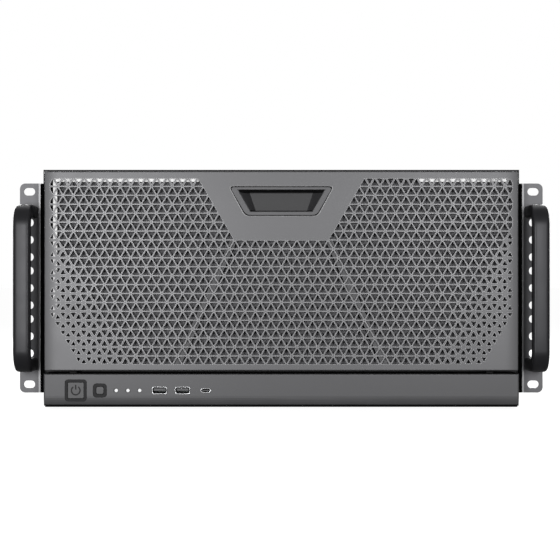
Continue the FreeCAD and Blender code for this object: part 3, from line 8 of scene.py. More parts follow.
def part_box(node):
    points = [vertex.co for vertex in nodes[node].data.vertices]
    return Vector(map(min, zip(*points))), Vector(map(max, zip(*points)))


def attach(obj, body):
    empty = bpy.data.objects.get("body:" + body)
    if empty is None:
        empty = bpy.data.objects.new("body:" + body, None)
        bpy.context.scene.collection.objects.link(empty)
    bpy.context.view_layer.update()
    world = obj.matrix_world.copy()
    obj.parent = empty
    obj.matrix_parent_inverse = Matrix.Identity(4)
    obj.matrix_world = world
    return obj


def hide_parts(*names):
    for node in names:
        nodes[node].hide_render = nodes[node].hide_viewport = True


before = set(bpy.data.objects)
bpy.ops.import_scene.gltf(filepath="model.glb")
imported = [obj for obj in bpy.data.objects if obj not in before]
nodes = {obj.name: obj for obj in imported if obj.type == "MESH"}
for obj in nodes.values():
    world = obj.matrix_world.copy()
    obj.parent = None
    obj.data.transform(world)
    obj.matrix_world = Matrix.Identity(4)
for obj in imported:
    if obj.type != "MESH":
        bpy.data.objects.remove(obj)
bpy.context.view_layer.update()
mm = 0.001   # the scene is in metres, the sizes below are in millimetres
print("frame loaded:", len(nodes), "nodes")


# colours and shader nodes

def hexColour(text):   # sRGB hex to linear
    parts = [int(text[k:k + 2], 16) / 255 for k in (0, 2, 4)]
    linear = [c / 12.92 if c <= 0.04045 else ((c + 0.055) / 1.055) ** 2.4 for c in parts]
    return (*linear, 1.0)


def addNode(tree, kind, settings=None, inputs=None):
    made = tree.nodes.new("ShaderNode" + kind)
    for key, value in (settings or {}).items():
        setattr(made, key, value)
    for key, value in (inputs or {}).items():
        if isinstance(value, bpy.types.NodeSocket):
            tree.links.new(value, made.inputs[key])
        else:
            made.inputs[key].default_value = value
    return made


def startMaterial(name, roughness, metallic=0.0, **sockets):
    material = bpy.data.materials.new(name)
    material.use_nodes = True
    tree = material.node_tree
    shader = tree.nodes["Principled BSDF"]
    shader.inputs["Roughness"].default_value = roughness
    shader.inputs["Metallic"].default_value = metallic
    for key, value in sockets.items():
        shader.inputs[key.replace("_", " ")].default_value = value
    place = addNode(tree, "TexCoord").outputs["Object"]
    return material, tree, shader, place


def perMetre(sizeMm):   # texture scale for a feature of that size
    return 1.0 / (sizeMm * mm)


def grainyFinish(name, look):
    # two close tones in soft patches, a fine grain that the light catches, and a gloss that drifts a little
    material, tree, shader, place = startMaterial(
        name, look["roughness"], look.get("metallic", 0.0), **look.get("sockets", {}))
    patches = addNode(tree, "TexNoise", None, {"Vector": place, "Scale": perMetre(look["patchMm"]), "Detail": 3.0})
    tone = addNode(tree, "Mix", {"data_type": "RGBA"}, {
        0: patches.outputs["Fac"], 6: hexColour(look["dark"]), 7: hexColour(look["light"])})
    colour = tone.outputs[2]
    if "edgeHighlight" in look:   # painted highlight: the cut edges of the holes are drawn lighter, as where they catch the light
        edge = addNode(tree, "Attribute", {"attribute_name": "edge"})
        edgeLight = addNode(tree, "Mix", {"data_type": "RGBA"}, {
            0: edge.outputs["Fac"], 6: colour, 7: hexColour(look["edgeHighlight"])})
        colour = edgeLight.outputs[2]
    tree.links.new(colour, shader.inputs["Base Color"])
    gloss = addNode(tree, "MapRange", None, {
        "Value": patches.outputs["Fac"], "To Min": look["roughness"] - 0.05, "To Max": look["roughness"] + 0.05})
    tree.links.new(gloss.outputs["Result"], shader.inputs["Roughness"])
    grain = addNode(tree, "TexNoise", None, {"Vector": place, "Scale": perMetre(look["grainMm"]), "Detail": 2.0})
    bump = addNode(tree, "Bump", None, {
        "Height": grain.outputs["Fac"], "Strength": 0.5, "Distance": look["depthMm"] * mm})
    tree.links.new(bump.outputs["Normal"], shader.inputs["Normal"])
    return material


# Satin paint on the aluminium door: mid grey, broad soft sheen; the cut edges of the holes carry a painted highlight.
# The paint grain is about 0.2 mm; it is drawn at 0.9 mm so that it shows.
doorPaint = grainyFinish("satin_painted_aluminium", {
    "dark": "69696b", "light": "707072", "edgeHighlight": "d4d4d6", "roughness": 0.42, "metallic": 0.4,
    "patchMm": 26, "grainMm": 0.9, "depthMm": 0.006})

# Moulded ABS of the lower strip: the same grey, a touch flatter and warmer.
stripAbs = grainyFinish("moulded_grey_abs", {
    "dark": "5e5e60", "light": "656567", "roughness": 0.45, "metallic": 0.35,
    "patchMm": 30, "grainMm": 1.0, "depthMm": 0.02})

# Black ABS with a spark-eroded tool texture: dull, nearly black, slightly pebbled.
blackAbs = grainyFinish("spark_textured_black_abs", {
    "dark": "141415", "light": "1a1a1b", "roughness": 0.6, "patchMm": 12, "grainMm": 0.8, "depthMm": 0.02,
    "sockets": {"Specular_IOR_Level": 0.2}})

# Bezel of the finger recess: the door's paint, a shade darker and a little duller.
bezelPaint = grainyFinish("satin_dark_paint", {
    "dark": "626264", "light": "69696b", "roughness": 0.48, "metallic": 0.35,
    "patchMm": 14, "grainMm": 0.9, "depthMm": 0.006})

# Pocket of the finger recess: dark grey ABS, dull, so that it reads as a hollow.
pocketAbs = grainyFinish("matt_dark_grey_abs", {
    "dark": "484849", "light": "515153", "roughness": 0.6, "patchMm": 10, "grainMm": 0.8, "depthMm": 0.015})

# Sides of that pocket: the same ABS where less light reaches it, drawn a shade darker.
pocketSideAbs = grainyFinish("matt_shaded_grey_abs", {
    "dark": "3c3c3e", "light": "474749", "roughness": 0.65, "patchMm": 5, "grainMm": 0.8, "depthMm": 0.015})

# Rings round the buttons: charcoal ABS, dull, a shade lighter than the shadows round them.
ringAbs = grainyFinish("matt_charcoal_abs", {
    "dark": "262628", "light": "2e2e30", "roughness": 0.55, "patchMm": 9, "grainMm": 0.8, "depthMm": 0.015,
    "sockets": {"Specular_IOR_Level": 0.3}})

# Button caps: dark grey ABS, smoother than the rings round them.
capAbs = grainyFinish("satin_grey_abs", {
    "dark": "5c5c5e", "light": "646466", "roughness": 0.42, "patchMm": 9, "grainMm": 0.7, "depthMm": 0.008})

# Powder-coated steel of the ears: pale grey with the orange peel of a baked coat, drawn at 1.1 mm.
earCoat = grainyFinish("grey_powder_coated_steel", {
    "dark": "717174", "light": "7a7a7d", "roughness": 0.45, "metallic": 0.25,
    "patchMm": 18, "grainMm": 1.1, "depthMm": 0.03})

# Line beside the ears' bend: pale, smooth steel grey, a painted highlight where the bend catches the light.
highlightSteel = grainyFinish("ear_bend_painted_highlight", {
    "dark": "b8b8ba", "light": "c6c6c8", "roughness": 0.4, "metallic": 0.2,
    "patchMm": 12, "grainMm": 1.1, "depthMm": 0.01})

# Closed-cell foam, dead black, soft and without shine; it stands as painted shade in the gaps beside the door, down
# the grille's holes and beside the felt strips.
shadeFoam = grainyFinish("black_foam_painted_shade", {
    "dark": "060607", "light": "0b0b0c", "roughness": 0.95, "patchMm": 4, "grainMm": 0.8, "depthMm": 0.05,
    "sockets": {"Specular_IOR_Level": 0.05}})

# Black powder coat of the chassis: fine even pebble, soft highlights.
chassisCoat = grainyFinish("black_powder_coated_steel", {
    "dark": "19191b", "light": "202022", "roughness": 0.55, "patchMm": 40, "grainMm": 1.2, "depthMm": 0.025,
    "sockets": {"Specular_IOR_Level": 0.35}})

# Black anodised aluminium handles: smooth and satin, with one long highlight.
handleAnodised = grainyFinish("black_anodised_aluminium", {
    "dark": "2c2c2f", "light": "343437", "roughness": 0.38, "metallic": 0.4,
    "patchMm": 14, "grainMm": 0.7, "depthMm": 0.012})

# Glass-filled black plastic of the fans: satin with a cloudy gloss.
fanPlastic = grainyFinish("glass_filled_black_plastic", {
    "dark": "151516", "light": "1e1e20", "roughness": 0.42, "patchMm": 10, "grainMm": 0.8, "depthMm": 0.02})

# Braided lead sleeve: matt black with a fine rib.
leadSleeve = grainyFinish("braided_black_sleeve", {
    "dark": "101011", "light": "1b1b1c", "roughness": 0.8, "patchMm": 4, "grainMm": 1.0, "depthMm": 0.2})

# Felt strips behind the grille's top and left holes: white, fibrous and quite matt; their faint glow is painted light,
# standing in for bright white seen through those holes.
glowFelt = grainyFinish("white_felt_painted_glow", {
    "dark": "f2f2f0", "light": "ffffff", "roughness": 0.9, "patchMm": 3, "grainMm": 0.9, "depthMm": 0.05,
    "sockets": {"Emission_Color": hexColour("ffffff"), "Emission_Strength": 0.27}})

# Moulded tongues and port inserts: plain black nylon.
portNylon = grainyFinish("black_nylon", {
    "dark": "121213", "light": "1a1a1b", "roughness": 0.55, "patchMm": 5, "grainMm": 0.6, "depthMm": 0.015})

# Tongues of the larger sockets: grey nylon, a little lighter than the dark behind them.
tongueNylon = grainyFinish("grey_nylon", {
    "dark": "6a6a6c", "light": "747476", "roughness": 0.5, "patchMm": 5, "grainMm": 0.6, "depthMm": 0.01})

# Tongues of the fast sockets at the back: dark blue nylon.
blueNylon = grainyFinish("blue_nylon", {
    "dark": "1c3f78", "light": "234a88", "roughness": 0.5, "patchMm": 5, "grainMm": 0.6, "depthMm": 0.01})

# Black oxide on screws: near black, smooth, a soft metallic glint.
blackOxide = grainyFinish("black_oxide_steel", {
    "dark": "2a2a2c", "light": "343437", "roughness": 0.38, "metallic": 0.8,
    "patchMm": 4, "grainMm": 0.6, "depthMm": 0.005})

# Dark ink of the power symbol: flat, slightly rough print.
darkInk = grainyFinish("dark_grey_print", {
    "dark": "161617", "light": "1d1d1f", "roughness": 0.6, "patchMm": 4, "grainMm": 0.6, "depthMm": 0.005})

# Grey ABS of the filter frame: plain and matt, the tone of the net it carries.
filterAbs = grainyFinish("matt_grey_abs", {
    "dark": "626264", "light": "6b6b6d", "roughness": 0.6, "patchMm": 15, "grainMm": 0.9, "depthMm": 0.015})


def zincFinish():
    # Zinc-plated sheet: pale bluish metal broken into faint crystal patches of about 5 mm.
    look = {"dark": "a2a5a9", "light": "b0b3b6", "roughness": 0.38, "spangleMm": 5}
    material, tree, shader, place = startMaterial("zinc_plated_steel", look["roughness"], 1.0)
    spangle = addNode(tree, "TexVoronoi", None, {"Vector": place, "Scale": perMetre(look["spangleMm"])})
    shade = addNode(tree, "SeparateColor", None, {"Color": spangle.outputs["Color"]})
    tone = addNode(tree, "Mix", {"data_type": "RGBA"}, {
        0: shade.outputs["Red"], 6: hexColour(look["dark"]), 7: hexColour(look["light"])})
    tree.links.new(tone.outputs[2], shader.inputs["Base Color"])
    gloss = addNode(tree, "MapRange", None, {
        "Value": shade.outputs["Green"], "To Min": look["roughness"] - 0.06, "To Max": look["roughness"] + 0.1})
    tree.links.new(gloss.outputs["Result"], shader.inputs["Roughness"])
    return material


def brushedFinish(name, look):
    # one direction of fine scratches: drawn 0.8 mm apart and 40 times as long
    material, tree, shader, place = startMaterial(name, look["roughness"], 1.0)
    stretch = addNode(tree, "Mapping", None, {"Vector": place, "Scale": look["stretch"]})
    lines = addNode(tree, "TexNoise", None, {
        "Vector": stretch.outputs["Vector"], "Scale": perMetre(look["lineMm"]), "Detail": 4.0})
    tone = addNode(tree, "Mix", {"data_type": "RGBA"}, {
        0: lines.outputs["Fac"], 6: hexColour(look["dark"]), 7: hexColour(look["light"])})
    tree.links.new(tone.outputs[2], shader.inputs["Base Color"])
    bump = addNode(tree, "Bump", None, {
        "Height": lines.outputs["Fac"], "Strength": 0.4, "Distance": look["depthMm"] * mm})
    tree.links.new(bump.outputs["Normal"], shader.inputs["Normal"])
    return material


def wovenFinish():
    # Woven nylon of the dust filter: grey threads crossing, with dark gaps between them.
    # The weave is about 0.5 mm; it is drawn at 1.6 mm, just coarse enough to show behind the grille.
    look = {"thread": "8a8a8d", "gap": "68686b", "weaveMm": 1.6, "roughness": 0.75}
    material, tree, shader, place = startMaterial("woven_nylon_net", look["roughness"])
    axes = addNode(tree, "SeparateXYZ", None, {"Vector": place})
    threads = []
    for axis in ("X", "Z"):
        turn = addNode(tree, "Math", {"operation": "MULTIPLY"}, {
            0: axes.outputs[axis], 1: 2 * math.pi * perMetre(look["weaveMm"])})
        wave = addNode(tree, "Math", {"operation": "SINE"}, {0: turn.outputs[0]})
        threads.append(wave.outputs[0])
    crossing = addNode(tree, "Math", {"operation": "MAXIMUM"}, {0: threads[0], 1: threads[1]})
    cover = addNode(tree, "MapRange", None, {
        "Value": crossing.outputs[0], "From Min": -0.4, "From Max": 0.6})
    tone = addNode(tree, "Mix", {"data_type": "RGBA"}, {
        0: cover.outputs["Result"], 6: hexColour(look["gap"]), 7: hexColour(look["thread"])})
    tree.links.new(tone.outputs[2], shader.inputs["Base Color"])
    bump = addNode(tree, "Bump", None, {
        "Height": crossing.outputs[0], "Strength": 0.6, "Distance": 0.15 * mm})
    tree.links.new(bump.outputs["Normal"], shader.inputs["Normal"])
    return material


def boardFinish():
    # Solder mask over copper: dark green gloss with faint paler tracks about 2 mm apart.
    look = {"mask": "10231a", "track": "1f3d2c", "trackMm": 2.4, "roughness": 0.35}
    material, tree, shader, place = startMaterial("solder_masked_board", look["roughness"])
    cells = addNode(tree, "TexVoronoi", {"distance": "MANHATTAN", "feature": "F1"}, {
        "Vector": place, "Scale": perMetre(look["trackMm"])})
    cut = addNode(tree, "MapRange", None, {"Value": cells.outputs["Distance"], "From Min": 0.45, "From Max": 0.6})
    tone = addNode(tree, "Mix", {"data_type": "RGBA"}, {
        0: cut.outputs["Result"], 6: hexColour(look["mask"]), 7: hexColour(look["track"])})
    tree.links.new(tone.outputs[2], shader.inputs["Base Color"])
    return material


def lightPipeFinish():
    # Frosted acrylic light pipe: milky white, faintly lit from behind, brighter in the middle of its grain.
    look = {"dark": "dfe2e4", "light": "ffffff", "roughness": 0.25, "patchMm": 1.5, "glow": 0.35}
    material, tree, shader, place = startMaterial("frosted_acrylic", look["roughness"])
    cloud = addNode(tree, "TexNoise", None, {"Vector": place, "Scale": perMetre(look["patchMm"])})
    tone = addNode(tree, "Mix", {"data_type": "RGBA"}, {
        0: cloud.outputs["Fac"], 6: hexColour(look["dark"]), 7: hexColour(look["light"])})
    tree.links.new(tone.outputs[2], shader.inputs["Base Color"])
    shader.inputs["Emission Color"].default_value = hexColour("ffffff")
    shader.inputs["Emission Strength"].default_value = look["glow"]
    return material


zincSteel = zincFinish()
nickelShell = brushedFinish("nickel_plated_shell", {
    "dark": "c4c5c7", "light": "e6e7e8", "roughness": 0.3, "stretch": (1, 1, 0.05), "lineMm": 0.8, "depthMm": 0.01})
bareAluminium = brushedFinish("extruded_aluminium", {
    "dark": "a8aaac", "light": "c8cacc", "roughness": 0.35, "stretch": (1, 0.03, 1), "lineMm": 0.8, "depthMm": 0.015})
nylonNet = wovenFinish()
boardMask = boardFinish()
lightPipe = lightPipeFinish()
print("materials made:", len(bpy.data.materials))


# mesh helpers

def makePiece(name, mesh, material, body, stands=()):
    mesh.materials.clear()
    mesh.materials.append(material)
    piece = bpy.data.objects.new(name, mesh)
    bpy.context.scene.collection.objects.link(piece)
    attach(piece, body)
    if stands:
        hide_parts(*stands)
    return piece


def closeMesh(bm, name, sharpDegrees=35):
    bmesh.ops.recalc_face_normals(bm, faces=bm.faces[:])
    mesh = bpy.data.meshes.new(name)
    bm.to_mesh(mesh)
    bm.free()
    mesh.shade_smooth()
    mesh.set_sharp_from_angle(angle=math.radians(sharpDegrees))
    return mesh


def evenShading(piece):   # flat faces stay flat beside rounded edges
    modifier = piece.modifiers.new("evenShading", "WEIGHTED_NORMAL")
    modifier.keep_sharp = True
    return piece


def nodeForm(node):   # a welded copy of the CAD node's mesh with its flat faces whole
    bm = bmesh.new()
    bm.from_mesh(nodes[node].data)
    bmesh.ops.remove_doubles(bm, verts=bm.verts[:], dist=0.001 * mm)
    bmesh.ops.dissolve_limit(bm, angle_limit=math.radians(1), verts=bm.verts[:], edges=bm.edges[:])
    return bm


def roundEdges(bm, radiusMm, pick=None, segments=3, angle=30):
    limit = math.radians(angle)
    edges = [e for e in bm.edges if len(e.link_faces) == 2 and e.calc_face_angle(0) > limit]
    if pick:
        edges = [e for e in edges if pick((e.verts[0].co + e.verts[1].co) / 2 / mm, e)]
    bmesh.ops.bevel(bm, geom=edges, offset=radiusMm * mm, segments=segments, profile=0.5,
                    affect="EDGES", clamp_overlap=True)


def roundedNode(node, material, body, radiusMm, pick=None, segments=2):
    bm = nodeForm(node)
    roundEdges(bm, radiusMm, pick, segments)
    return evenShading(makePiece(node + ".rounded", closeMesh(bm, node), material, body, [node]))


def addRing(bm, points):
    return [bm.verts.new(Vector(p) * mm) for p in points]


def bridge(bm, first, second):   # a band of quads between two closed rings
    count = len(first)
    return [bm.faces.new((first[k], first[(k + 1) % count], second[(k + 1) % count], second[k]))
            for k in range(count)]


def lathe(bm, profile, centre, axis, steps, radiusAt=None):
    # turns (along, radius) pairs about an axis through centre; radiusAt scales the radius by angle and profile index
    along = Vector(axis).normalized()
    side = along.orthogonal().normalized()
    up = along.cross(side)
    rings = []
    for index, (reach, radius) in enumerate(profile):
        ring = []
        for k in range(steps):
            turn = 2 * math.pi * k / steps
            size = radius * (radiusAt(k, index) if radiusAt else 1)
            ring.append(Vector(centre) + along * reach + (side * math.cos(turn) + up * math.sin(turn)) * size)
        rings.append(addRing(bm, ring))
    for first, second in zip(rings, rings[1:]):
        bridge(bm, first, second)
    bm.faces.new(rings[0])
    bm.faces.new(rings[-1])
    return rings


def slab(bm, low, high, bevelMm=0.0):   # a block with its edges eased
    corners = [(x, y, z) for x in (low[0], high[0]) for y in (low[1], high[1]) for z in (low[2], high[2])]
    v = addRing(bm, corners)
    quads = ((0, 1, 3, 2), (4, 6, 7, 5), (0, 4, 5, 1), (2, 3, 7, 6), (0, 2, 6, 4), (1, 5, 7, 3))
    faces = [bm.faces.new([v[k] for k in quad]) for quad in quads]
    if bevelMm:
        edges = list({e for f in faces for e in f.edges})
        bmesh.ops.bevel(bm, geom=edges, offset=bevelMm * mm, segments=2, profile=0.5, affect="EDGES")


def flatWeb(outline, holes):
    # triangles of a plate with convex holes; returns points and faces over outline + holes
    points = []
    edges = []
    owner = []
    for number, ring in enumerate([outline] + holes):
        first = len(points)
        points += [Vector(p) for p in ring]
        edges += [(first + k, first + (k + 1) % len(ring)) for k in range(len(ring))]
        owner += [number] * len(ring)
    out = delaunay_2d_cdt(points, edges, [], 1, 1e-6)
    source = {new: old[0] for new, old in enumerate(out[3]) if old}
    web = [[source[k] for k in face] for face in out[2]]
    return points, [face for face in web if owner[face[0]] == 0 or len({owner[k] for k in face}) > 1]


def piercedPlate(bm, outline, holes, faceY, backY, easeMm, edgeRound, highlightLayer, highlightBandMm):
    # a plate in the XZ plane: eased holes with a painted highlight band round them, and an outer edge rounded towards
    # the front
    sink = 1 if backY > faceY else -1
    frontEdge = outline(edgeRound)
    opened = [grown(hole, easeMm + highlightBandMm) for hole in holes]
    points, faces = flatWeb(frontEdge, opened)
    front = addRing(bm, [(p.x, faceY, p.y) for p in points])
    for face in faces:
        bm.faces.new([front[k] for k in face])
    steps = 4
    rings = [front[:len(frontEdge)]]
    for k in range(1, steps + 1):
        turn = math.pi / 2 * k / steps
        inset = edgeRound * (1 - math.sin(turn))
        depth = edgeRound * (1 - math.cos(turn))
        rings.append(addRing(bm, [(x, faceY + sink * depth, z) for x, z in outline(inset)]))
    rims = []
    first = len(frontEdge)
    for hole in holes:
        band = front[first:first + len(hole)]
        first += len(hole)
        mouth = addRing(bm, [(x, faceY, z) for x, z in grown(hole, easeMm)])
        throat = addRing(bm, [(x, faceY + sink * easeMm, z) for x, z in hole])
        exitRing = addRing(bm, [(x, backY, z) for x, z in hole])
        bridge(bm, band, mouth)
        bridge(bm, mouth, throat)
        for wall in bridge(bm, throat, exitRing):   # the walls of the holes take the second material
            wall.material_index = 1
        rims.append(exitRing)
        # the mouth and throat of each hole carry the painted-highlight mark
        for v in mouth + throat:
            v[highlightLayer] = 1.0
    rings.append(addRing(bm, [(x, backY, z) for x, z in outline(0)]))
    for one, two in zip(rings, rings[1:]):
        bridge(bm, one, two)
    back = rings[-1] + [v for ring in rims for v in ring]
    for face in faces:
        bm.faces.new([back[k] for k in reversed(face)])


def grown(ring, reach):   # a convex ring drawn outwards by reach
    centre = Vector((sum(p[0] for p in ring), sum(p[1] for p in ring))) / len(ring)
    out = []
    for p in ring:
        arm = Vector(p) - centre
        out.append(tuple(centre + arm * (1 + reach / arm.length)))
    return out


def roundRect(left, right, low, high, radius, inset=0.0, steps=4):
    left, right, low, high = left + inset, right - inset, low + inset, high - inset
    radius = max(radius - inset, 0.05)
    ring = []
    for cx, cz, start in ((right - radius, high - radius, 0), (left + radius, high - radius, 90),
                          (left + radius, low + radius, 180), (right - radius, low + radius, 270)):
        for k in range(steps + 1):
            turn = math.radians(start + 90 * k / steps)
            ring.append((cx + radius * math.cos(turn), cz + radius * math.sin(turn)))
    return ring


# door: triangle grille, finger recess, filter and seal

grille = {
    "pitch": 9.4, "rowHeight": 8.069, "topLine": 210.08, "rows": 21, "cellScale": 0.8, "cornerCut": 0.05,
    "smallest": 0.53, "smallAt": 86.7, "smallThere": 0.475, "smallRise": 0.0014,
    "ease": 0.2, "highlightBand": 0.42, "edgeRound": 0.8, "corner": 1.0, "sideStep": 0.6, "sideCut": 209.0, "sliver": 2.0,
    "collar": 5.5, "collarFrom": 46.0, "collarRise": 6.0,
    "rollFrom": 202.4, "rollBack": 0.95, "rollAt": (201.0, 202.4, 204.5, 206.5, 208.2, 209.8, 211.2, 212.5, 213.4),
    "edgeReach": 209.5, "edgeBend": 82.7, "edgeSlope": 0.563,
    "fullReach": 206.0, "fullBend": 165.3, "fullSlope": 0.724,
    "plainTop": 75.2, "plainLow": 42.3, "plainFoot": 153.6, "recessGap": 0.5, "topStep": 1.4, "topRow": 0.78}
panelLow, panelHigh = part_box("door_panel")
cupLow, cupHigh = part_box("finger_cup")
recess = {"topHalf": 46.9, "lowHalf": 32.2, "top": cupHigh.z / mm - 0.8, "low": cupLow.z / mm, "corner": 4.0,
          "mouthTop": 39.3, "mouthLow": 28.1, "backTop": 29.5, "shadeFrom": 196.4, "shadeFoot": 180.6}


def fadeScale(x, z):   # full triangles in the middle, small ones towards the sides, none past the edge
    edge = grille["edgeReach"] - max(0.0, grille["edgeBend"] - z) * grille["edgeSlope"]
    full = grille["fullReach"] - max(0.0, grille["fullBend"] - z) * grille["fullSlope"]
    if abs(x) > edge:
        return 0.0
    share = min(1.0, max(0.0, (edge - abs(x)) / max(edge - full, 0.1)))
    least = max(grille["smallest"], grille["smallThere"] + (z - grille["smallAt"]) * grille["smallRise"])
    return least + max(0.0, 1 - least) * share


def inPlainField(x, z):   # the plain trapezoid round the recess
    share = (z - grille["plainFoot"]) / (grille["topLine"] - grille["plainFoot"])
    half = grille["plainLow"] + (grille["plainTop"] - grille["plainLow"]) * share
    return z > grille["plainFoot"] and abs(x) < half


def cutAtSide(ring, limit):   # keeps the part of a ring with |x| under the limit
    kept = []
    for k, p in enumerate(ring):
        before = ring[k - 1]
        inside, wasInside = abs(p[0]) < limit, abs(before[0]) < limit
        if inside != wasInside:
            wall = math.copysign(limit, p[0])
            share = (wall - before[0]) / (p[0] - before[0])
            kept.append((wall, before[1] + (p[1] - before[1]) * share))
        if inside:
            kept.append(p)
    return kept


def ringArea(ring):
    return abs(sum(a[0] * b[1] - b[0] * a[1] for a, b in zip(ring, ring[1:] + ring[:1]))) / 2


def grilleHoles():
    holes = []
    pitch, rise = grille["pitch"], grille["rowHeight"]
    for row in range(grille["rows"]):
        top = grille["topLine"] - rise * row
        for step in range(-48, 49):
            pointsUp = (step + row) % 2 == 0
            x = step * pitch / 2
            z = top - rise * (2 / 3 if pointsUp else 1 / 3)
            size = fadeScale(x, z)
            if size == 0 or inPlainField(x, z):
                continue
            if row == 0 and not pointsUp:
                size *= grille["topRow"]   # the rim takes a part of these
            reach = pitch / math.sqrt(3) * grille["cellScale"] * size
            squash = rise / (pitch * math.sqrt(3) / 2)   # rows stand a little closer than equal sides would give
            first = 90 if pointsUp else 270
            tips = [Vector((math.cos(math.radians(first + 120 * k)), math.sin(math.radians(first + 120 * k))))
                    for k in range(3)]
            ring = []
            for k in range(3):
                before, after = tips[k - 1], tips[(k + 1) % 3]
                for other in (before, after):
                    p = tips[k].lerp(other, grille["cornerCut"]) * reach
                    ring.append((x + p.x, z + p.y * squash))
            ring = cutAtSide(ring, grille["sideCut"])
            if len(ring) > 2 and ringArea(ring) > grille["sliver"]:
                holes.append(ring)
    return holes


def recessRing(outset):
    corner = recess["corner"]
    top, low = recess["top"] + outset, recess["low"] - outset
    wide, narrow = recess["topHalf"] + outset, recess["lowHalf"] + outset
    corners = [Vector(p) for p in ((wide, top), (-wide, top), (-narrow, low), (narrow, low))]
    ring = []
    for k, p in enumerate(corners):
        before = (corners[k - 1] - p).normalized() * corner
        after = (corners[(k + 1) % 4] - p).normalized() * corner
        for t in (0, 0.33, 0.67, 1):
            bend = (p + before) * (1 - t) ** 2 + p * 2 * t * (1 - t) + (p + after) * t ** 2
            ring.append(tuple(bend))
    return ring


def makeGrille():
    bm = bmesh.new()
    highlightLayer = bm.verts.layers.float.new("edge")
    holes = grilleHoles()
    left, right = panelLow.x / mm + grille["sideStep"], panelHigh.x / mm - grille["sideStep"]
    low, high = panelLow.z / mm, panelHigh.z / mm - grille["topStep"]

    def outline(inset):
        return roundRect(left, right, low, high, grille["corner"], inset)

    behind = panelHigh.y / mm + grille["collar"]   # the holes carry on as short tubes behind the sheet, lined dead black as painted shade
    piercedPlate(bm, outline, holes + [recessRing(grille["recessGap"])], panelLow.y / mm, behind,
                 grille["ease"], grille["edgeRound"], highlightLayer, grille["highlightBand"])
    for x in grille["rollAt"]:
        for side in (-x, x):
            bmesh.ops.bisect_plane(bm, geom=bm.verts[:] + bm.edges[:] + bm.faces[:], dist=0.001 * mm,
                                   plane_co=(side * mm, 0, 0), plane_no=(1, 0, 0))
    face, back = panelLow.y, panelHigh.y
    for v in bm.verts:
        past = (abs(v.co.x) / mm - grille["rollFrom"]) / (right - grille["rollFrom"])
        if v.co.y > back:   # the tubes start above the hinge
            share = (v.co.z / mm - grille["collarFrom"]) / grille["collarRise"]
            v.co.y = back + (v.co.y - back) * min(1.0, max(0.0, share))
        elif past > 0:   # the face rolls back a little towards both sides
            v.co.y += grille["rollBack"] * mm * past ** 2 * (back - v.co.y) / (back - face)
    mesh = closeMesh(bm, "door_grille", 8)
    print("grille holes:", len(holes))
    piece = makePiece("door_grille", mesh, doorPaint, "door", ["door_panel"])
    mesh.materials.append(shadeFoam)   # the tubes' dead-black lining is painted shade
    return piece


def makeRecess():
    bm = nodeForm("finger_cup")
    mouth = panelLow.y / mm
    moves = {(45.5, 202.5): (recess["topHalf"], recess["top"]), (32.0, 175.8): (recess["lowHalf"], recess["low"]),
             (41.9, 198.9): (recess["mouthTop"], 198.9), (28.4, 179.4): (recess["mouthLow"], 179.4),
             (26.0, 198.9): (recess["backTop"], 198.9), (27.6, 200.5): (recess["backTop"] + 1.6, 200.5)}
    for v in bm.verts:   # a wider flange, and sides that lean as its edges do
        spot = (round(abs(v.co.x) / mm, 1), round(v.co.z / mm, 1))
        if spot in moves:
            v.co.x = math.copysign(moves[spot][0] * mm, v.co.x)
            v.co.z = moves[spot][1] * mm
    roundEdges(bm, recess["corner"], lambda p, e: p.y < mouth + 3 and abs((e.verts[0].co - e.verts[1].co).y) > 2 * mm
               and (abs(p.x) > 44 or p.z < recess["low"] + 1), 4)
    roundEdges(bm, 0.6, lambda p, e: p.y < mouth + 0.2, 3)
    for z in (recess["shadeFrom"], recess["shadeFoot"]):
        bmesh.ops.bisect_plane(bm, geom=bm.verts[:] + bm.edges[:] + bm.faces[:], dist=0.001 * mm,
                               plane_co=(0, 0, z * mm), plane_no=(0, 0, 1))
    mesh = closeMesh(bm, "finger_recess", 30)
    piece = makePiece("finger_recess", mesh, bezelPaint, "door", ["finger_cup"])
    for finish in (pocketAbs, blackAbs, pocketSideAbs):
        mesh.materials.append(finish)
    for face in mesh.polygons:   # painted flange, grey back; the darker sides and the black bands along the top and the foot of the back are painted shade
        if face.center.y / mm > mouth + 0.5:
            inBack = recess["shadeFoot"] < face.center.z / mm < recess["shadeFrom"]
            face.material_index = (3 if abs(face.normal.x) > 0.4 else 1) if inBack else 2
    return evenShading(piece)


glowAndShadeStrips = {"thick": 2.0, "drop": 5.2, "topRuns": ((-206.0, -75.0), (124.0, 204.0)), "sideAt": -206.9,
          "sideWide": 3.6, "sideLow": 84.0, "sideHigh": 208.0, "edgeStrip": 5.0}


def makeGlowAndShadeStrips():   # felt strips on the back of the grille, glowing as painted light, and black foam from there to the side of the rim as painted shade
    top, back = grille["topLine"] + 1.5, panelHigh.y / mm
    edge = glowAndShadeStrips["sideAt"]
    bm = bmesh.new()
    for start, end in glowAndShadeStrips["topRuns"]:
        slab(bm, (start, back, top - glowAndShadeStrips["drop"]), (end, back + glowAndShadeStrips["thick"], top), 0.2)
    inner, behind = edge + glowAndShadeStrips["sideWide"], back + glowAndShadeStrips["thick"]
    slab(bm, (edge, back, glowAndShadeStrips["sideLow"]), (inner, behind, glowAndShadeStrips["sideHigh"]), 0.2)
    slab(bm, (edge - glowAndShadeStrips["edgeStrip"], back, glowAndShadeStrips["sideLow"]), (edge, behind, glowAndShadeStrips["sideHigh"]), 0.2)
    mesh = closeMesh(bm, "door_glow_and_shade_strips")
    piece = makePiece("door_glow_and_shade_strips", mesh, glowFelt, "door")
    mesh.materials.append(shadeFoam)
    for face in mesh.polygons:
        face.material_index = 1 if face.center.x / mm < edge else 0
    return piece


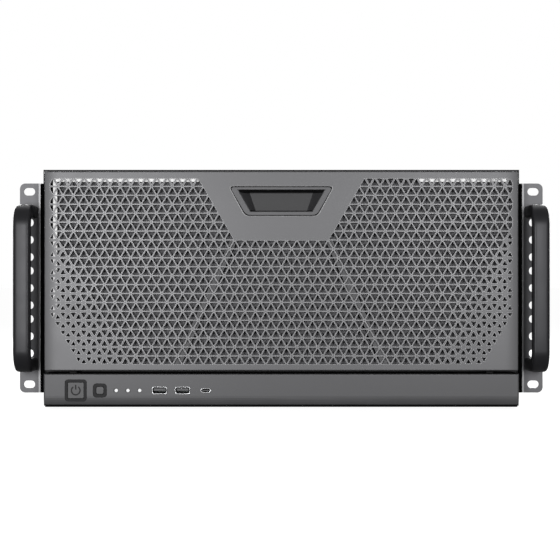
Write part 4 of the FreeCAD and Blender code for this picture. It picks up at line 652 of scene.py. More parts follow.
# corners (x, z) of the two screen shapes: beside each rib, and between the ribs below the plain field
screen = {"thick": 0.4, "gap": 6.0, "outer": {1: 209.5, -1: 203.2},
          "beside": ((97.6, 39.0), (46.4, 151.0), (43.0, 158.0), (72.0, 208.0), (74.0, 212.5), (123.8, 212.5),
                     (124.0, 208.2)),
          "between": ((90.8, 39.0), (39.6, 153.0), (-39.6, 153.0), (-90.8, 39.0))}


def makeScreens():   # fine woven screens bonded close behind the grille
    front = panelHigh.y / mm + screen["gap"]
    shapes = [screen["between"]]
    for side, edge in screen["outer"].items():
        inner = screen["beside"] if side > 0 else screen["beside"][:4]
        shapes.append([(edge * side, 39.0)] + [(x * side, z) for x, z in inner] + [(edge * side, 208.2)])
    bm = bmesh.new()
    for shape in shapes:
        near = addRing(bm, [(x, front, z) for x, z in shape])
        far = addRing(bm, [(x, front + screen["thick"], z) for x, z in shape])
        bm.faces.new(near)
        bm.faces.new(far)
        bridge(bm, near, far)
    return makePiece("grille_screens", closeMesh(bm, "grille_screens"), nylonNet, "door")


sill = {"half": 180.0, "low": 38.4, "high": 47.0, "front": -18.6, "back": -16.8, "lip": 2.2}


def makeSill():   # the filter's lower rail, with a lip along its foot
    bm = bmesh.new()
    slab(bm, (-sill["half"], sill["front"], sill["low"]), (sill["half"], sill["back"], sill["high"]), 0.3)
    slab(bm, (-sill["half"], sill["front"] - sill["lip"], sill["low"]),
         (sill["half"], sill["front"], sill["low"] + 1.2), 0.3)
    return makePiece("filter_sill", closeMesh(bm, "filter_sill"), filterAbs, "door")


def makeDoorFrame():   # the rim stops level with the grille's top and side edges
    bm = nodeForm("door_frame")
    low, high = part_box("door_frame")
    for v in bm.verts:
        if v.co.z > high.z - 0.01 * mm:
            v.co.z -= grille["topStep"] * mm
        if abs(v.co.x) > high.x - 0.01 * mm:
            v.co.x -= math.copysign(grille["sideStep"] * mm, v.co.x)
    roundEdges(bm, 0.4, None, 2)
    mesh = closeMesh(bm, "door_frame")
    piece = makePiece("door_frame.rounded", mesh, doorPaint, "door", ["door_frame"])
    mesh.materials.append(filterAbs)
    inner = low.z + 4 * mm   # the ribs between the rim's walls are bare plastic
    for face in mesh.polygons:
        face.material_index = 1 if abs(face.center.x) < 150 * mm and inner < face.center.z < high.z - 10 * mm else 0
    return evenShading(piece)


makeGrille()
makeRecess()
makeGlowAndShadeStrips()
makeScreens()
makeSill()
makeDoorFrame()
print("door made")


# control strip: rounded moulding, buttons, symbol, light pipes and sockets

strip = {"edgeRound": 1.3, "ringCorner": 2.8, "capCorner": 1.2, "resetRing": 3.2, "resetCorner": 1.8,
         "footStep": 0.5, "footShade": 1.25,
         "rollTop": 12.6, "rollBack": 1.6, "rollSteps": 5}
stripLow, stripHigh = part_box("control_strip")
stripHigh.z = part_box("door_panel")[0].z - 3 * mm   # the moulding's own top, below the hinge lugs and the gap
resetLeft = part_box("reset_button")[0].x / mm - 4   # between the two buttons


def alongDepth(edge, longest=40.0):   # an edge that runs straight back from the face
    span = (edge.verts[0].co - edge.verts[1].co) / mm
    return abs(span.x) < 0.01 and abs(span.z) < 0.01 and 1 < abs(span.y) < longest


def stripOuter(p, edge):
    onSide = abs(abs(p.x) - stripHigh.x / mm) < 0.1
    onTop = abs(p.z - stripHigh.z / mm) < 0.1 or p.z < stripLow.z / mm + strip["footStep"] + 0.1
    return p.y < stripLow.y / mm + strip["rollBack"] + 0.2 and (onSide or onTop)


def nearNode(p, node, reach=0.4):   # within the node's outline, seen from the front
    low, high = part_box(node)
    return all(low[k] / mm - reach < p[k] < high[k] / mm + reach for k in (0, 2))


def makeStrip():
    bm = nodeForm("control_strip")
    for radius, side in ((strip["ringCorner"], -1), (strip["resetRing"], 1)):
        roundEdges(bm, radius, lambda p, e: alongDepth(e, 4) and nearNode(p, "button_surrounds")
                   and p.y < stripLow.y / mm + 2 and (p.x - resetLeft) * side > 0, 4)
    for v in bm.verts:   # the moulding stops a little above the foot of the tray
        if v.co.z < stripLow.z + 0.01 * mm:
            v.co.z += strip["footStep"] * mm
    foot, rollTop = stripLow.z / mm + strip["footStep"], strip["rollTop"]
    for k in range(strip["rollSteps"]):
        z = rollTop + (foot - rollTop) * k / strip["rollSteps"]
        bmesh.ops.bisect_plane(bm, geom=bm.verts[:] + bm.edges[:] + bm.faces[:], dist=0.001 * mm,
                               plane_co=(0, 0, z * mm), plane_no=(0, 0, 1))
    for v in bm.verts:   # the face rolls back a little towards its foot
        if v.co.y < stripLow.y + 0.01 * mm and v.co.z < rollTop * mm:
            v.co.y += strip["rollBack"] * mm * ((rollTop - v.co.z / mm) / (rollTop - foot)) ** 2
    roundEdges(bm, strip["edgeRound"], stripOuter, 4)
    mesh = closeMesh(bm, "control_strip", 8)
    piece = makePiece("control_strip.moulding", mesh, stripAbs, "chassis", ["control_strip"])
    mesh.materials.append(blackAbs)
    for face in mesh.polygons:   # upper face, hinge lugs and inside are painted black as shade in the gap above; a band along the foot is painted black as the shadow line below
        spot = face.center / mm
        dark = spot.z > stripHigh.z / mm - 0.05 or spot.y > stripLow.y / mm + 3 or spot.z < foot + strip["footShade"]
        face.material_index = 1 if dark else 0
    return piece


def softened(node, material, body, corners, easeMm):
    # a frame or cap whose corners are rounded; corners lists (radius, test of the corner's place)
    bm = nodeForm(node)
    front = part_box(node)[0].y / mm
    for radius, test in corners:
        roundEdges(bm, radius, lambda p, e: alongDepth(e) and test(p), 4)
    roundEdges(bm, easeMm, lambda p, e: p.y < front + 0.02, 2)
    return evenShading(makePiece(node + ".soft", closeMesh(bm, node, 30), material, body, [node]))


def offCentre(p, node, reach):   # further than reach from the middle of the node's outline, across or up
    low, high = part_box(node)
    return max(abs(p.x - (low.x + high.x) / 2 / mm), abs(p.z - (low.z + high.z) / 2 / mm)) > reach


def frameRings(bm, cx, cz, sections):   # bands through rounded rectangles given as (width, height, corner, y)
    rings = []
    for width, height, corner, y in sections:
        ring = roundRect(cx - width / 2, cx + width / 2, cz - height / 2, cz + height / 2, corner)
        rings.append(addRing(bm, [(x, y, z) for x, z in ring]))
    for one, two in zip(rings, rings[1:] + rings[:1]):
        bridge(bm, one, two)


socket = {
    "usb_a_shells": {"across": (-110.2, -89.3), "hole": (14.2, 8.3), "shell": (14.0, 7.2, 1.8),
                     "slot": (12.0, 4.7, 0.9), "bead": 0.45},
    "usb_c_shell": {"across": (-68.4,), "hole": (10.0, 4.9), "shell": (9.6, 4.1, 2.0),
                    "slot": (8.2, 2.9, 1.4), "bead": 0.3}}


tongue = {"wide": 10.6, "high": 1.9, "lift": 0.5, "sunk": 0.5, "deep": 9.0}


def makeSockets():   # bright shells with a rolled lip, and the moulding closed up round them
    face = stripLow.y / mm
    filler = bmesh.new()
    for node, sizes in socket.items():
        low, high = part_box(node)
        cz, back = (low.z + high.z) / 2 / mm, high.y / mm
        width, height, corner = sizes["shell"]
        slotWide, slotHigh, slotCorner = sizes["slot"]
        bead = sizes["bead"]
        bm = bmesh.new()
        for cx in sizes["across"]:
            frameRings(bm, cx, cz, [
                (width, height, corner, back), (width, height, corner, face),
                (width - bead * 0.6, height - bead * 0.6, corner, face - bead * 0.7),
                (width - bead * 2, height - bead * 2, corner, face - bead),
                (width - bead * 3.4, height - bead * 3.4, corner, face - bead * 0.7),
                (slotWide, slotHigh, slotCorner, face + 0.3), (slotWide, slotHigh, slotCorner, back)])
            holeWide, holeHigh = sizes["hole"]
            frameRings(filler, cx, cz, [
                (holeWide, holeHigh, 0.06, face), (width, height, corner, face),
                (width, height, corner, face + 2), (holeWide, holeHigh, 0.06, face + 2)])
        makePiece(node + ".lipped", closeMesh(bm, node, 50), nickelShell, "chassis", [node])
    bm = bmesh.new()
    wide, high, start, deep = tongue["wide"], tongue["high"], face + tongue["sunk"], face + tongue["deep"]
    for cx in socket["usb_a_shells"]["across"]:
        cz = (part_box("usb_a_shells")[0].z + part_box("usb_a_shells")[1].z) / 2 / mm + tongue["lift"]
        slab(bm, (cx - wide / 2, start, cz - high / 2), (cx + wide / 2, deep, cz + high / 2), 0.25)
    makePiece("usb_tongues.long", closeMesh(bm, "usb_tongues"), tongueNylon, "chassis")
    makePiece("socket_surround", closeMesh(filler, "socket_surround"), stripAbs, "chassis")


powerMark = {"ring": 3.9, "line": 1.25, "gap": 34, "barLow": 0.8, "barHigh": 5.2, "raise": 0.06}


def makePowerMark():   # an open ring with an upright bar, printed on the cap
    low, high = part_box("power_button")
    cx, cz = (low.x + high.x) / 2 / mm, (low.z + high.z) / 2 / mm
    face = low.y / mm
    bm = bmesh.new()
    steps = 28
    rails = []
    for k in range(steps + 1):
        turn = math.radians(90 + powerMark["gap"] + (360 - 2 * powerMark["gap"]) * k / steps)
        rail = []
        for side in (-0.5, 0.5):
            reach = powerMark["ring"] + side * powerMark["line"]
            for depth in (0.0, powerMark["raise"]):
                rail.append((cx + reach * math.cos(turn), face - depth, cz + reach * math.sin(turn)))
        rails.append(addRing(bm, [rail[0], rail[1], rail[3], rail[2]]))
    for one, two in zip(rails, rails[1:]):
        bridge(bm, one, two)
    bm.faces.new(rails[0])
    bm.faces.new(rails[-1])
    half = powerMark["line"] / 2
    slab(bm, (cx - half, face - powerMark["raise"], cz + powerMark["barLow"]),
         (cx + half, face, cz + powerMark["barHigh"]))
    return makePiece("power_mark", closeMesh(bm, "power_mark"), darkInk, "power_button")


makeStrip()
makePowerMark()
softened("button_surrounds", ringAbs, "chassis", [
    (strip["ringCorner"], lambda p: p.x < resetLeft and offCentre(p, "power_button", 8)),
    (strip["capCorner"], lambda p: p.x < resetLeft and not offCentre(p, "power_button", 8)),
    (strip["resetRing"], lambda p: p.x > resetLeft and offCentre(p, "reset_button", 4.5)),
    (strip["resetCorner"], lambda p: p.x > resetLeft and not offCentre(p, "reset_button", 4.5))], 0.4)
softened("power_button", capAbs, "power_button", [
    (strip["capCorner"], lambda p: offCentre(p, "power_button", 4))], 0.5)
softened("reset_button", capAbs, "reset_button", [
    (strip["resetCorner"], lambda p: offCentre(p, "reset_button", 2))], 0.6)
makeSockets()
print("control strip made")


# ears and handles

handle = {"width": 15.2, "thick": 12.0, "bend": 14.0, "square": 5.0, "around": 40, "bendSteps": 10,
          "barSteps": 6, "postSteps": 3}


def handlePath(x, face, bar, low, high):   # centre line from one post to the other, with the way forward at each point
    bend = handle["bend"]
    path = []
    for k in range(handle["postSteps"] + 1):
        y = face + (bar + bend - face) * k / handle["postSteps"]
        path.append((Vector((x, y, low)), Vector((0, -1, 0))))
    for k in range(1, handle["bendSteps"] + 1):
        turn = math.pi / 2 * k / handle["bendSteps"]
        spot = Vector((x, bar + bend - bend * math.sin(turn), low + bend - bend * math.cos(turn)))
        path.append((spot, Vector((0, -math.cos(turn), math.sin(turn)))))
    middle = (low + high) / 2
    upper = [(Vector((p.x, p.y, 2 * middle - p.z)), Vector((0, -d.y, d.z))) for p, d in reversed(path)]
    straight = []
    for k in range(1, handle["barSteps"]):
        z = low + bend + (high - low - 2 * bend) * k / handle["barSteps"]
        straight.append((Vector((x, bar, z)), Vector((0, 0, 1))))
    return path + straight + upper


def makeHandle(node):
    low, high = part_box(node)
    x = (low.x + high.x) / 2 / mm
    thick = handle["thick"]
    path = handlePath(x, high.y / mm, low.y / mm + thick / 2, low.z / mm + thick / 2, high.z / mm - thick / 2)
    bm = bmesh.new()
    rings = []
    for spot, way in path:
        across = Vector((1, 0, 0))
        out = across.cross(way).normalized()
        ring = []
        for k in range(handle["around"]):
            turn = 2 * math.pi * k / handle["around"]
            c, s = math.cos(turn), math.sin(turn)
            power = 2 / handle["square"]
            u = math.copysign(abs(c) ** power, c) * handle["width"] / 2
            v = math.copysign(abs(s) ** power, s) * thick / 2
            ring.append(spot + across * u + out * v)
        rings.append(addRing(bm, ring))
    for one, two in zip(rings, rings[1:]):
        bridge(bm, one, two)
    bm.faces.new(rings[0])
    bm.faces.new(rings[-1])
    mesh = closeMesh(bm, node, 50)
    return makePiece(node + ".bail", mesh, handleAnodised, "chassis", [node])


ear = {"highlightFrom": 222.3, "highlightTo": 224.0, "slotEnd": 227.3, "slotCorner": 229.35, "shorten": 1.4, "slotRound": 1.2,
       "slotLow": 26.0, "slotHigh": 194.0}


def makeEar(node):   # bent plate: the middle slots a little shorter, a painted highlight line beside the bend
    bm = nodeForm(node)
    for v in bm.verts:
        x, z = abs(v.co.x) / mm, v.co.z / mm
        if ear["slotLow"] < z < ear["slotHigh"]:
            share = 1.0 if abs(x - ear["slotEnd"]) < 0.05 else 0.65 if abs(x - ear["slotCorner"]) < 0.05 else 0.0
            v.co.x += math.copysign(share * ear["shorten"] * mm, v.co.x)
    roundEdges(bm, ear["slotRound"], lambda p, e: alongDepth(e, 4) and ear["slotLow"] < p.z < ear["slotHigh"]
               and 226 < abs(p.x) < 239, 3)
    for x in (ear["highlightFrom"], ear["highlightTo"]):
        for side in (-x, x):
            bmesh.ops.bisect_plane(bm, geom=bm.verts[:] + bm.edges[:] + bm.faces[:], dist=0.001 * mm,
                                   plane_co=(side * mm, 0, 0), plane_no=(1, 0, 0))
    roundEdges(bm, 0.35, None, 2)
    mesh = closeMesh(bm, node)
    piece = makePiece(node + ".bent", mesh, earCoat, "chassis", [node])
    mesh.materials.append(highlightSteel)
    for face in mesh.polygons:
        highlighted = ear["highlightFrom"] < abs(face.center.x) / mm < ear["highlightTo"]
        face.material_index = 1 if highlighted and face.normal.y < -0.3 else 0
    return evenShading(piece)


shadeSeal = {"from": 218.6, "to": 222.3, "front": -3.2, "back": -0.6, "round": 0.9}


def makeShadeSeals():   # a soft dead-black strip over the bend of each ear, beside the door: painted shade for the gap there
    bm = bmesh.new()
    low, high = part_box("left_ear")
    for side in (-1, 1):
        near, far = sorted((shadeSeal["from"] * side, shadeSeal["to"] * side))
        slab(bm, (near, shadeSeal["front"], low.z / mm), (far, shadeSeal["back"], high.z / mm - 0.6), shadeSeal["round"])
    return makePiece("side_shade_seals", closeMesh(bm, "side_shade_seals"), shadeFoam, "chassis")


for side in ("left", "right"):
    makeHandle(side + "_handle")
    makeEar(side + "_ear")
makeShadeSeals()
print("ears and handles made")


# chassis sheet metal, screws, and the back with its ports

cover = {"pressLeft": -196.0, "pressRight": 196.0, "pressFront": 26.0, "pressBack": 414.0, "slope": 5.0,
         "pressDepth": 0.9, "lipFrom": 20.0, "lipDrop": 0.7}


def makeCover():   # the lid with a shallow pressed field
    bm = nodeForm("top_cover")
    slope = cover["slope"]
    left, right, front, back = (cover["press" + side] for side in ("Left", "Right", "Front", "Back"))
    planes = [((x, 0, 0), (1, 0, 0)) for x in (left, left + slope, right - slope, right)]
    planes += [((0, y, 0), (0, 1, 0)) for y in (cover["lipFrom"], front, front + slope, back - slope, back)]
    for spot, way in planes:
        bmesh.ops.bisect_plane(bm, geom=bm.verts[:] + bm.edges[:] + bm.faces[:], dist=0.001 * mm,
                               plane_co=Vector(spot) * mm, plane_no=way)
    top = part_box("top_cover")[1].z / mm
    for v in bm.verts:
        p = v.co / mm
        inside = left + slope - 0.1 < p.x < right - slope + 0.1 and front + slope - 0.1 < p.y < back - slope + 0.1
        if inside and p.z > top - 2:
            v.co.z -= cover["pressDepth"] * mm
        if p.y < cover["lipFrom"] - 1 and p.z > top - 2:   # the front edge dips a little
            v.co.z -= cover["lipDrop"] * mm
    roundEdges(bm, 0.5, lambda p, e: abs(p.x) > right + 5 or p.y < 5 or p.y > back + 8, 2)
    mesh = closeMesh(bm, "top_cover", 8)
    return makePiece("top_cover.pressed", mesh, chassisCoat, "top_cover", ["top_cover"])


screws = {
    "steps": 24,
    "rear": {"radius": 3.2, "height": 1.5, "y": 440.0, "spots": [
        (134, 7), (208.5, 7), (134, 145.5), (208.5, 145.5), (-211, 24), (-211, 110), (-211, 194), (211, 194),
        (121.5, 100), (-36, 60), (106, 60)] + [(-175.7 + 20.32 * k, 128.5) for k in range(7)]},
    "earLeg": {"radius": 3.4, "height": 1.3, "x": 220.5, "spots": [(42, z) for z in (30, 75, 145, 190)]},
    "side": {"radius": 3.0, "height": 1.2, "x": 218.5, "spots": [
        (y, z) for z in (12, 110, 192) for y in (90, 200, 310, 420)]}}


def screwHead(bm, spot, way, radius, height):   # a domed head with a cross recess
    profile = [(0, radius), (height * 0.45, radius), (height * 0.85, radius * 0.8), (height, radius * 0.6),
               (height * 0.98, radius * 0.52), (height * 0.5, radius * 0.42), (height * 0.5, 0.02)]
    arm = screws["steps"] // 4

    def cross(k, index):
        return 1.0 if index < 4 or k % arm in (0, 1, arm - 1) else 0.42

    lathe(bm, profile, spot, way, screws["steps"], cross)


def makeScrews():
    bm = bmesh.new()
    rear = screws["rear"]
    for x, z in rear["spots"]:
        screwHead(bm, (x, rear["y"], z), (0, 1, 0), rear["radius"], rear["height"])
    for group in ("earLeg", "side"):
        sizes = screws[group]
        for side in (-1, 1):
            for y, z in sizes["spots"]:
                screwHead(bm, (sizes["x"] * side, y, z), (side, 0, 0), sizes["radius"], sizes["height"])
    return makePiece("panel_screws", closeMesh(bm, "panel_screws", 40), blackOxide, "chassis")


thumbscrew = {"across": (-190.0, 0.0, 190.0), "z": 211.0, "y": 441.5, "steps": 60, "knurl": 0.94}


def makeThumbscrews():   # knurled heads with a cross recess
    bm = bmesh.new()
    profile = [(-3.5, 1.8), (0, 1.8), (0, 4.3), (1.2, 4.3), (1.7, 5.4), (6.6, 5.4), (7.5, 4.7), (8.6, 4.4),
               (9.0, 3.9), (9.0, 2.7), (8.0, 2.3), (8.0, 0.02)]

    def knurled(k, index):
        if index in (4, 5):
            return 1.0 if k % 2 else thumbscrew["knurl"]
        arm = thumbscrew["steps"] // 4
        return 1.0 if index < 9 or min(k % arm, arm - k % arm) < 3 else 0.42

    for x in thumbscrew["across"]:
        lathe(bm, profile, (x, thumbscrew["y"], thumbscrew["z"]), (0, 1, 0), thumbscrew["steps"], knurled)
    mesh = closeMesh(bm, "thumbscrews", 25)
    return makePiece("cover_thumbscrews.knurled", mesh, zincSteel, "top_cover", ["cover_thumbscrews"])


guard = {"x": 32.3, "z": 140.0, "y": 440.6, "wire": 0.6, "rings": (9.5, 19.0, 28.5, 38.0, 47.5, 57.0),
         "corner": 52.5, "loop": 4.2, "steps": 56, "around": 8}


def wireRing(bm, x, z, radius):
    rings = []
    for k in range(guard["steps"]):
        turn = 2 * math.pi * k / guard["steps"]
        ring = []
        for j in range(guard["around"]):
            roll = 2 * math.pi * j / guard["around"]
            reach = radius + guard["wire"] * math.cos(roll)
            ring.append((x + reach * math.cos(turn), guard["y"] + guard["wire"] * math.sin(roll),
                         z + reach * math.sin(turn)))
        rings.append(addRing(bm, ring))
    for one, two in zip(rings, rings[1:] + rings[:1]):
        bridge(bm, one, two)


def makeGuard():   # round wires: rings, four stays and a screwed loop at each corner
    bm = bmesh.new()
    for radius in guard["rings"]:
        wireRing(bm, guard["x"], guard["z"], radius)
    heads = bmesh.new()
    diagonal = guard["corner"] * math.sqrt(2)
    for k in range(4):
        way = Vector((math.cos(math.pi * (k / 2 + 0.25)), 0, math.sin(math.pi * (k / 2 + 0.25))))
        hub = Vector((guard["x"], guard["y"], guard["z"]))
        start, end = guard["rings"][0], diagonal - guard["loop"]
        lathe(bm, [(0, guard["wire"]), (end - start, guard["wire"])], hub + way * start, way, guard["around"])
        spot = hub + way * diagonal
        wireRing(bm, spot.x, spot.z, guard["loop"])
        screwHead(heads, (spot.x, guard["y"] - 0.6, spot.z), (0, 1, 0), 3.4, 2.2)
    makePiece("rear_fan_guard.wire", closeMesh(bm, "rear_fan_guard", 50), nickelShell, "chassis",
              ["rear_fan_guard"])
    makePiece("fan_screws", closeMesh(heads, "fan_screws", 40), blackOxide, "chassis")


# each stack of ports: left, right, top; then the openings as (x, z, width, height), corner, tongue
usb = {"size": (12.4, 5.0), "corner": 0.5, "tongue": 1.5}
ports = {
    "low": 10.8, "face": 441.5, "wellBack": 433.0, "blockBack": 412.8,
    "stacks": [
        {"span": (93.9, 108.2), "top": 25.9, "usb": (15.0, 21.8), "blue": False},
        {"span": (67.5, 81.7), "top": 40.2, "usb": (14.6, 21.4, 29.6, 36.4), "blue": True},
        {"span": (41.0, 55.3), "top": 40.2, "usb": (14.6, 21.4, 29.6, 36.4), "blue": True},
        {"span": (12.9, 30.4), "top": 45.5, "usb": (14.8, 21.8), "blue": True, "wide": [(36.0, 13.0, 11.4)]},
        {"span": (-11.9, 2.3), "top": 40.2, "usb": (), "wide": [(18.0, 11.6, 4.8), (31.5, 12.2, 5.4)]},
        {"span": (-44.0, -18.6), "top": 47.3, "usb": (), "jacks": (17.4, 29.0, 40.6)}]}


def circleRing(x, z, radius, steps=16):
    return [(x + radius * math.cos(2 * math.pi * k / steps), z + radius * math.sin(2 * math.pi * k / steps))
            for k in range(steps)]


def rectRing(x, z, width, height, corner=0.5):
    return roundRect(x - width / 2, x + width / 2, z - height / 2, z + height / 2, corner, 0.0, 2)


def darkPlate(bm, box, holes, faceY, backY, ease=0.15, edge=0.3):   # a pierced plate with plain edges
    layer = bm.verts.layers.float.get("edge") or bm.verts.layers.float.new("edge")
    piercedPlate(bm, lambda inset: roundRect(*box, 0.6, inset, 2), holes, faceY, backY, ease, edge, layer, 0.05)


def makePorts():   # metal stacks with open sockets, tongues inside, and a shielded plate round them
    face, back = ports["face"], ports["wellBack"]
    shells, jacks, tongues, blue = bmesh.new(), bmesh.new(), bmesh.new(), bmesh.new()
    for stack in ports["stacks"]:
        left, right = stack["span"]
        middle = (left + right) / 2
        box = (left, right, ports["low"], stack["top"])
        holes = [rectRing(middle, z, *usb["size"], usb["corner"]) for z in stack["usb"]]
        holes += [rectRing(middle, z, width, height) for z, width, height in stack.get("wide", ())]
        holes += [circleRing(middle + side * 6.2, z, 2.6) for z in stack.get("jacks", ()) for side in (-1, 1)]
        darkPlate(jacks if "jacks" in stack else shells, box, holes, face, back)
        slab(jacks, (left, ports["blockBack"], ports["low"]), (right, back, stack["top"]))
        for z in stack.get("jacks", ()):   # a plated collar just inside each jack
            for x in (middle - 6.2, middle + 6.2):
                frameRings(shells, x, z, [(5.0, 5.0, 2.4, face - 0.4), (4.0, 4.0, 1.9, face - 0.4),
                                          (4.0, 4.0, 1.9, back), (5.0, 5.0, 2.4, back)])
        for z in stack["usb"]:
            target = blue if stack["blue"] else tongues
            slab(target, (middle - 4.9, back, z + 0.1), (middle + 4.9, face - 0.8, z + 0.1 + usb["tongue"]), 0.2)
        for z, width, height in stack.get("wide", ()):
            slab(tongues, (middle - width * 0.36, back, z - height * 0.1),
                 (middle + width * 0.36, face - 1.5, z + height * 0.1), 0.2)
    mesh = closeMesh(shells, "port_stacks", 20)
    makePiece("io_port_block.stacks", mesh, nickelShell, "chassis", ["io_port_block"])
    mesh.materials.append(blackAbs)
    mesh = closeMesh(jacks, "port_wells", 20)
    makePiece("port_wells", mesh, portNylon, "chassis")
    mesh.materials.append(blackAbs)
    makePiece("port_tongues", closeMesh(tongues, "port_tongues"), portNylon, "chassis")
    makePiece("port_tongues.blue", closeMesh(blue, "port_tongues_blue"), blueNylon, "chassis")


slots = {"first": -175.7, "pitch": 20.32, "wide": 18.6, "low": 12.8, "high": 122.8, "face": 438.8, "back": 437.9,
         "hole": 1.9, "columns": (-3.4, 3.4), "rowFrom": 22.0, "rowStep": 6.6, "rows": 14,
         "display": {"size": (5.6, 16.5), "at": (29.0, 51.0, 73.0, 95.0)}}


def ventHoles(x):
    return [circleRing(x + column, slots["rowFrom"] + slots["rowStep"] * row, slots["hole"], 8)
            for row in range(slots["rows"]) for column in slots["columns"]]


def makeSlotCovers():   # vented blanking plates, and the card's bracket with upright display sockets
    covers, bracket, rims = bmesh.new(), bmesh.new(), bmesh.new()
    low, high, half = slots["low"], slots["high"], slots["wide"] / 2
    for k in range(5):
        x = slots["first"] + slots["pitch"] * k
        darkPlate(covers, (x - half, x + half, low, high), ventHoles(x), slots["face"], slots["back"])
    near, far = slots["first"] + slots["pitch"] * 5, slots["first"] + slots["pitch"] * 6
    width, height = slots["display"]["size"]
    spots = slots["display"]["at"]
    holes = ventHoles(far) + [rectRing(near, z, width, height) for z in spots]
    bracketLow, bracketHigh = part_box("graphics_card_bracket")
    darkPlate(bracket, (bracketLow.x / mm, bracketHigh.x / mm, low, high), holes, slots["face"], slots["back"])
    for z in spots:
        frameRings(rims, near, z, [
            (width + 1, height + 1, 0.8, slots["face"]), (width + 1, height + 1, 0.8, slots["face"] + 0.8),
            (width, height, 0.6, slots["face"] + 0.8), (width, height, 0.6, slots["back"])])
    for name, bm in (("slot_covers", covers), ("graphics_card_bracket", bracket)):
        mesh = closeMesh(bm, name, 20)
        makePiece(name + ".vented", mesh, zincSteel, "chassis", [name])
        mesh.materials.append(blackAbs)
    makePiece("display_rims", closeMesh(rims, "display_rims", 40), nickelShell, "chassis")


inlet = {"pins": ((-2.6, -5.2), (-2.6, 5.2), (2.6, 0.0)), "wide": 1.9, "high": 4.0, "from": 424.0, "to": 435.5}


def makeInlet():   # rounded socket shroud with three flat pins
    low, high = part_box("psu_inlet")
    cx, cz = (low.x + high.x) / 2 / mm, (low.z + high.z) / 2 / mm
    roundedNode("psu_inlet", blackAbs, "chassis", 0.7, lambda p, e: p.y > high.y / mm - 1 or alongDepth(e))
    bm = bmesh.new()
    for dx, dz in inlet["pins"]:
        slab(bm, (cx + dx - inlet["wide"] / 2, inlet["from"], cz + dz - inlet["high"] / 2),
             (cx + dx + inlet["wide"] / 2, inlet["to"], cz + dz + inlet["high"] / 2), 0.4)
    return makePiece("inlet_pins", closeMesh(bm, "inlet_pins"), nickelShell, "chassis")


makeCover()
makeScrews()
makeThumbscrews()
makeGuard()
makePorts()
makeSlotCovers()
makeInlet()
roundedNode("psu_switch", blackAbs, "psu_switch", 0.5)
roundedNode("base_tray", chassisCoat, "chassis", 0.5)
roundedNode("rear_panel", chassisCoat, "chassis", 0.3)
roundedNode("io_shield", zincSteel, "chassis", 0.25)
print("chassis and back made")


# everything inside

plainNodes = {
    chassisCoat: ["front_bulkhead", "cross_brace", "drive_cage", "psu_case"],
    filterAbs: ["filter_frame"],
    blackAbs: ["catch_clips", "button_switches", "graphics_card_shroud"],
    nylonNet: ["filter_net"],
    lightPipe: ["led_light_pipes"],
    portNylon: ["board_sockets"],
    tongueNylon: ["usb_tongues"],
    boardMask: ["front_io_board", "motherboard", "memory_modules", "graphics_card_board"],
    zincSteel: ["hinge_pins", "door_ball_studs", "board_standoffs"],
    bareAluminium: ["cpu_cooler_heatsink", "chipset_heatsink", "hard_drives"],
    fanPlastic: ["front_fan_left_frame", "front_fan_left_rotor", "front_fan_right_frame", "front_fan_right_rotor",
                 "rear_fan_frame", "rear_fan_rotor", "cpu_fan_frame", "cpu_fan_rotor", "psu_fan_rotor",
                 "graphics_card_rotor"],
    leadSleeve: ["main_power_lead"]}
for finish, names in plainNodes.items():
    for name in names:
        nodes[name].data.materials.clear()
        nodes[name].data.materials.append(finish)
print("carried-over nodes finished:", sum(len(names) for names in plainNodes.values()))


# floor, world, lamps and camera

studio = {
    "cameraAt": (-1.2, -1352.0, 117.4), "lens": 94.0, "sensor": 36.0,
    "floorHalf": 20000.0, "floorGlow": 0.95, "ambient": 0.12, "mirrored": 0.15,
    "lamps": {
        "leftSoftbox": {"at": (-365, -1225, 180), "size": (200, 360), "watts": 5.1},
        "rightSoftbox": {"at": (365, -1225, 240), "size": (200, 360), "watts": 3.9},
        "rearLeftSoftbox": {"at": (-800, 1300, 600), "size": (700, 900), "watts": 18.0},
        "rearRightSoftbox": {"at": (800, 1300, 600), "size": (700, 900), "watts": 18.0},
        "topSoftbox": {"at": (0, 900, 1400), "size": (1400, 900), "watts": 4.0}},
    "aim": (0.0, 60.0, 110.0)}


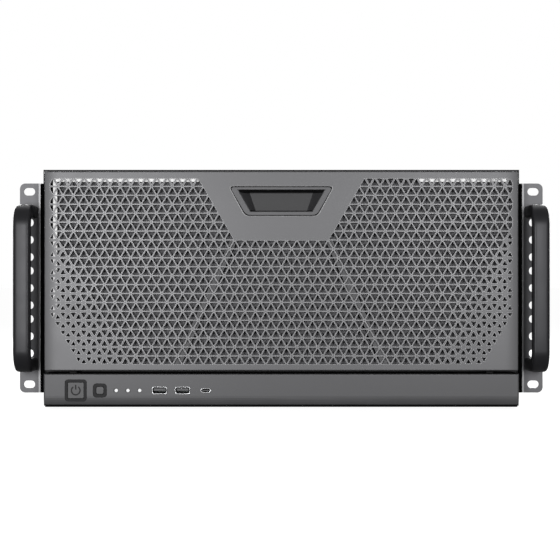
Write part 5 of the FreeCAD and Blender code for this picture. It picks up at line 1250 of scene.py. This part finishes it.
def makeFloor():
    bm = bmesh.new()
    half = studio["floorHalf"]
    bm.faces.new(addRing(bm, [(-half, -half, 0), (half, -half, 0), (half, half, 0), (-half, half, 0)]))
    mesh = bpy.data.meshes.new("floor")
    bm.to_mesh(mesh)
    bm.free()
    floor = bpy.data.objects.new("floor", mesh)
    bpy.context.scene.collection.objects.link(floor)
    material = bpy.data.materials.new("white_studio_card")
    material.use_nodes = True
    tree = material.node_tree
    tree.nodes.clear()
    rays = addNode(tree, "LightPath")
    card = addNode(tree, "BsdfDiffuse", None, {"Color": hexColour("8c8c8c")})
    seen = addNode(tree, "Math", {"operation": "MULTIPLY"}, {
        0: rays.outputs["Is Camera Ray"], 1: studio["floorGlow"]})
    glow = addNode(tree, "Emission", None, {"Color": hexColour("ffffff"), "Strength": seen.outputs[0]})
    lit = addNode(tree, "AddShader", None, {0: card.outputs[0], 1: glow.outputs[0]})
    addNode(tree, "OutputMaterial", None, {"Surface": lit.outputs[0]})
    mesh.materials.append(material)


def makeWorld():
    world = bpy.data.worlds.new("studio")
    bpy.context.scene.world = world
    world.use_nodes = True
    tree = world.node_tree
    tree.nodes.clear()
    rays = addNode(tree, "LightPath")
    seen = addNode(tree, "Math", {"operation": "MAXIMUM"}, {
        0: rays.outputs["Is Camera Ray"], 1: rays.outputs["Is Transmission Ray"]})
    mirrored = addNode(tree, "Math", {"operation": "MULTIPLY"}, {   # the part of the white wall that gloss picks up
        0: rays.outputs["Is Glossy Ray"], 1: studio["mirrored"]})
    both = addNode(tree, "Math", {"operation": "MAXIMUM"}, {0: seen.outputs[0], 1: mirrored.outputs[0]})
    strength = addNode(tree, "MapRange", None, {
        "Value": both.outputs[0], "To Min": studio["ambient"], "To Max": 1.0})
    sky = addNode(tree, "Background", None, {"Color": hexColour("ffffff"), "Strength": strength.outputs["Result"]})
    addNode(tree, "OutputWorld", None, {"Surface": sky.outputs[0]})


def makeLamps():
    for name, lamp in studio["lamps"].items():
        light = bpy.data.lights.new(name, "AREA")
        light.shape = "RECTANGLE"
        light.size, light.size_y = (side * mm for side in lamp["size"])
        light.energy = lamp["watts"]
        holder = bpy.data.objects.new(name, light)
        bpy.context.scene.collection.objects.link(holder)
        spot = Vector(lamp["at"]) * mm
        holder.location = spot
        holder.visible_camera = False
        holder.rotation_euler = (Vector(studio["aim"]) * mm - spot).to_track_quat("-Z", "Y").to_euler()


def makeCamera():
    camera = bpy.data.cameras.new("camera")
    camera.sensor_width = studio["sensor"]
    camera.lens = studio["lens"]
    camera.clip_end = 50
    holder = bpy.data.objects.new("camera", camera)
    bpy.context.scene.collection.objects.link(holder)
    holder.location = Vector(studio["cameraAt"]) * mm
    holder.rotation_euler = (math.pi / 2, 0, 0)
    bpy.context.scene.camera = holder


makeFloor()
makeWorld()
makeLamps()
makeCamera()
bpy.context.scene.view_settings.view_transform = "Standard"
print("studio set")
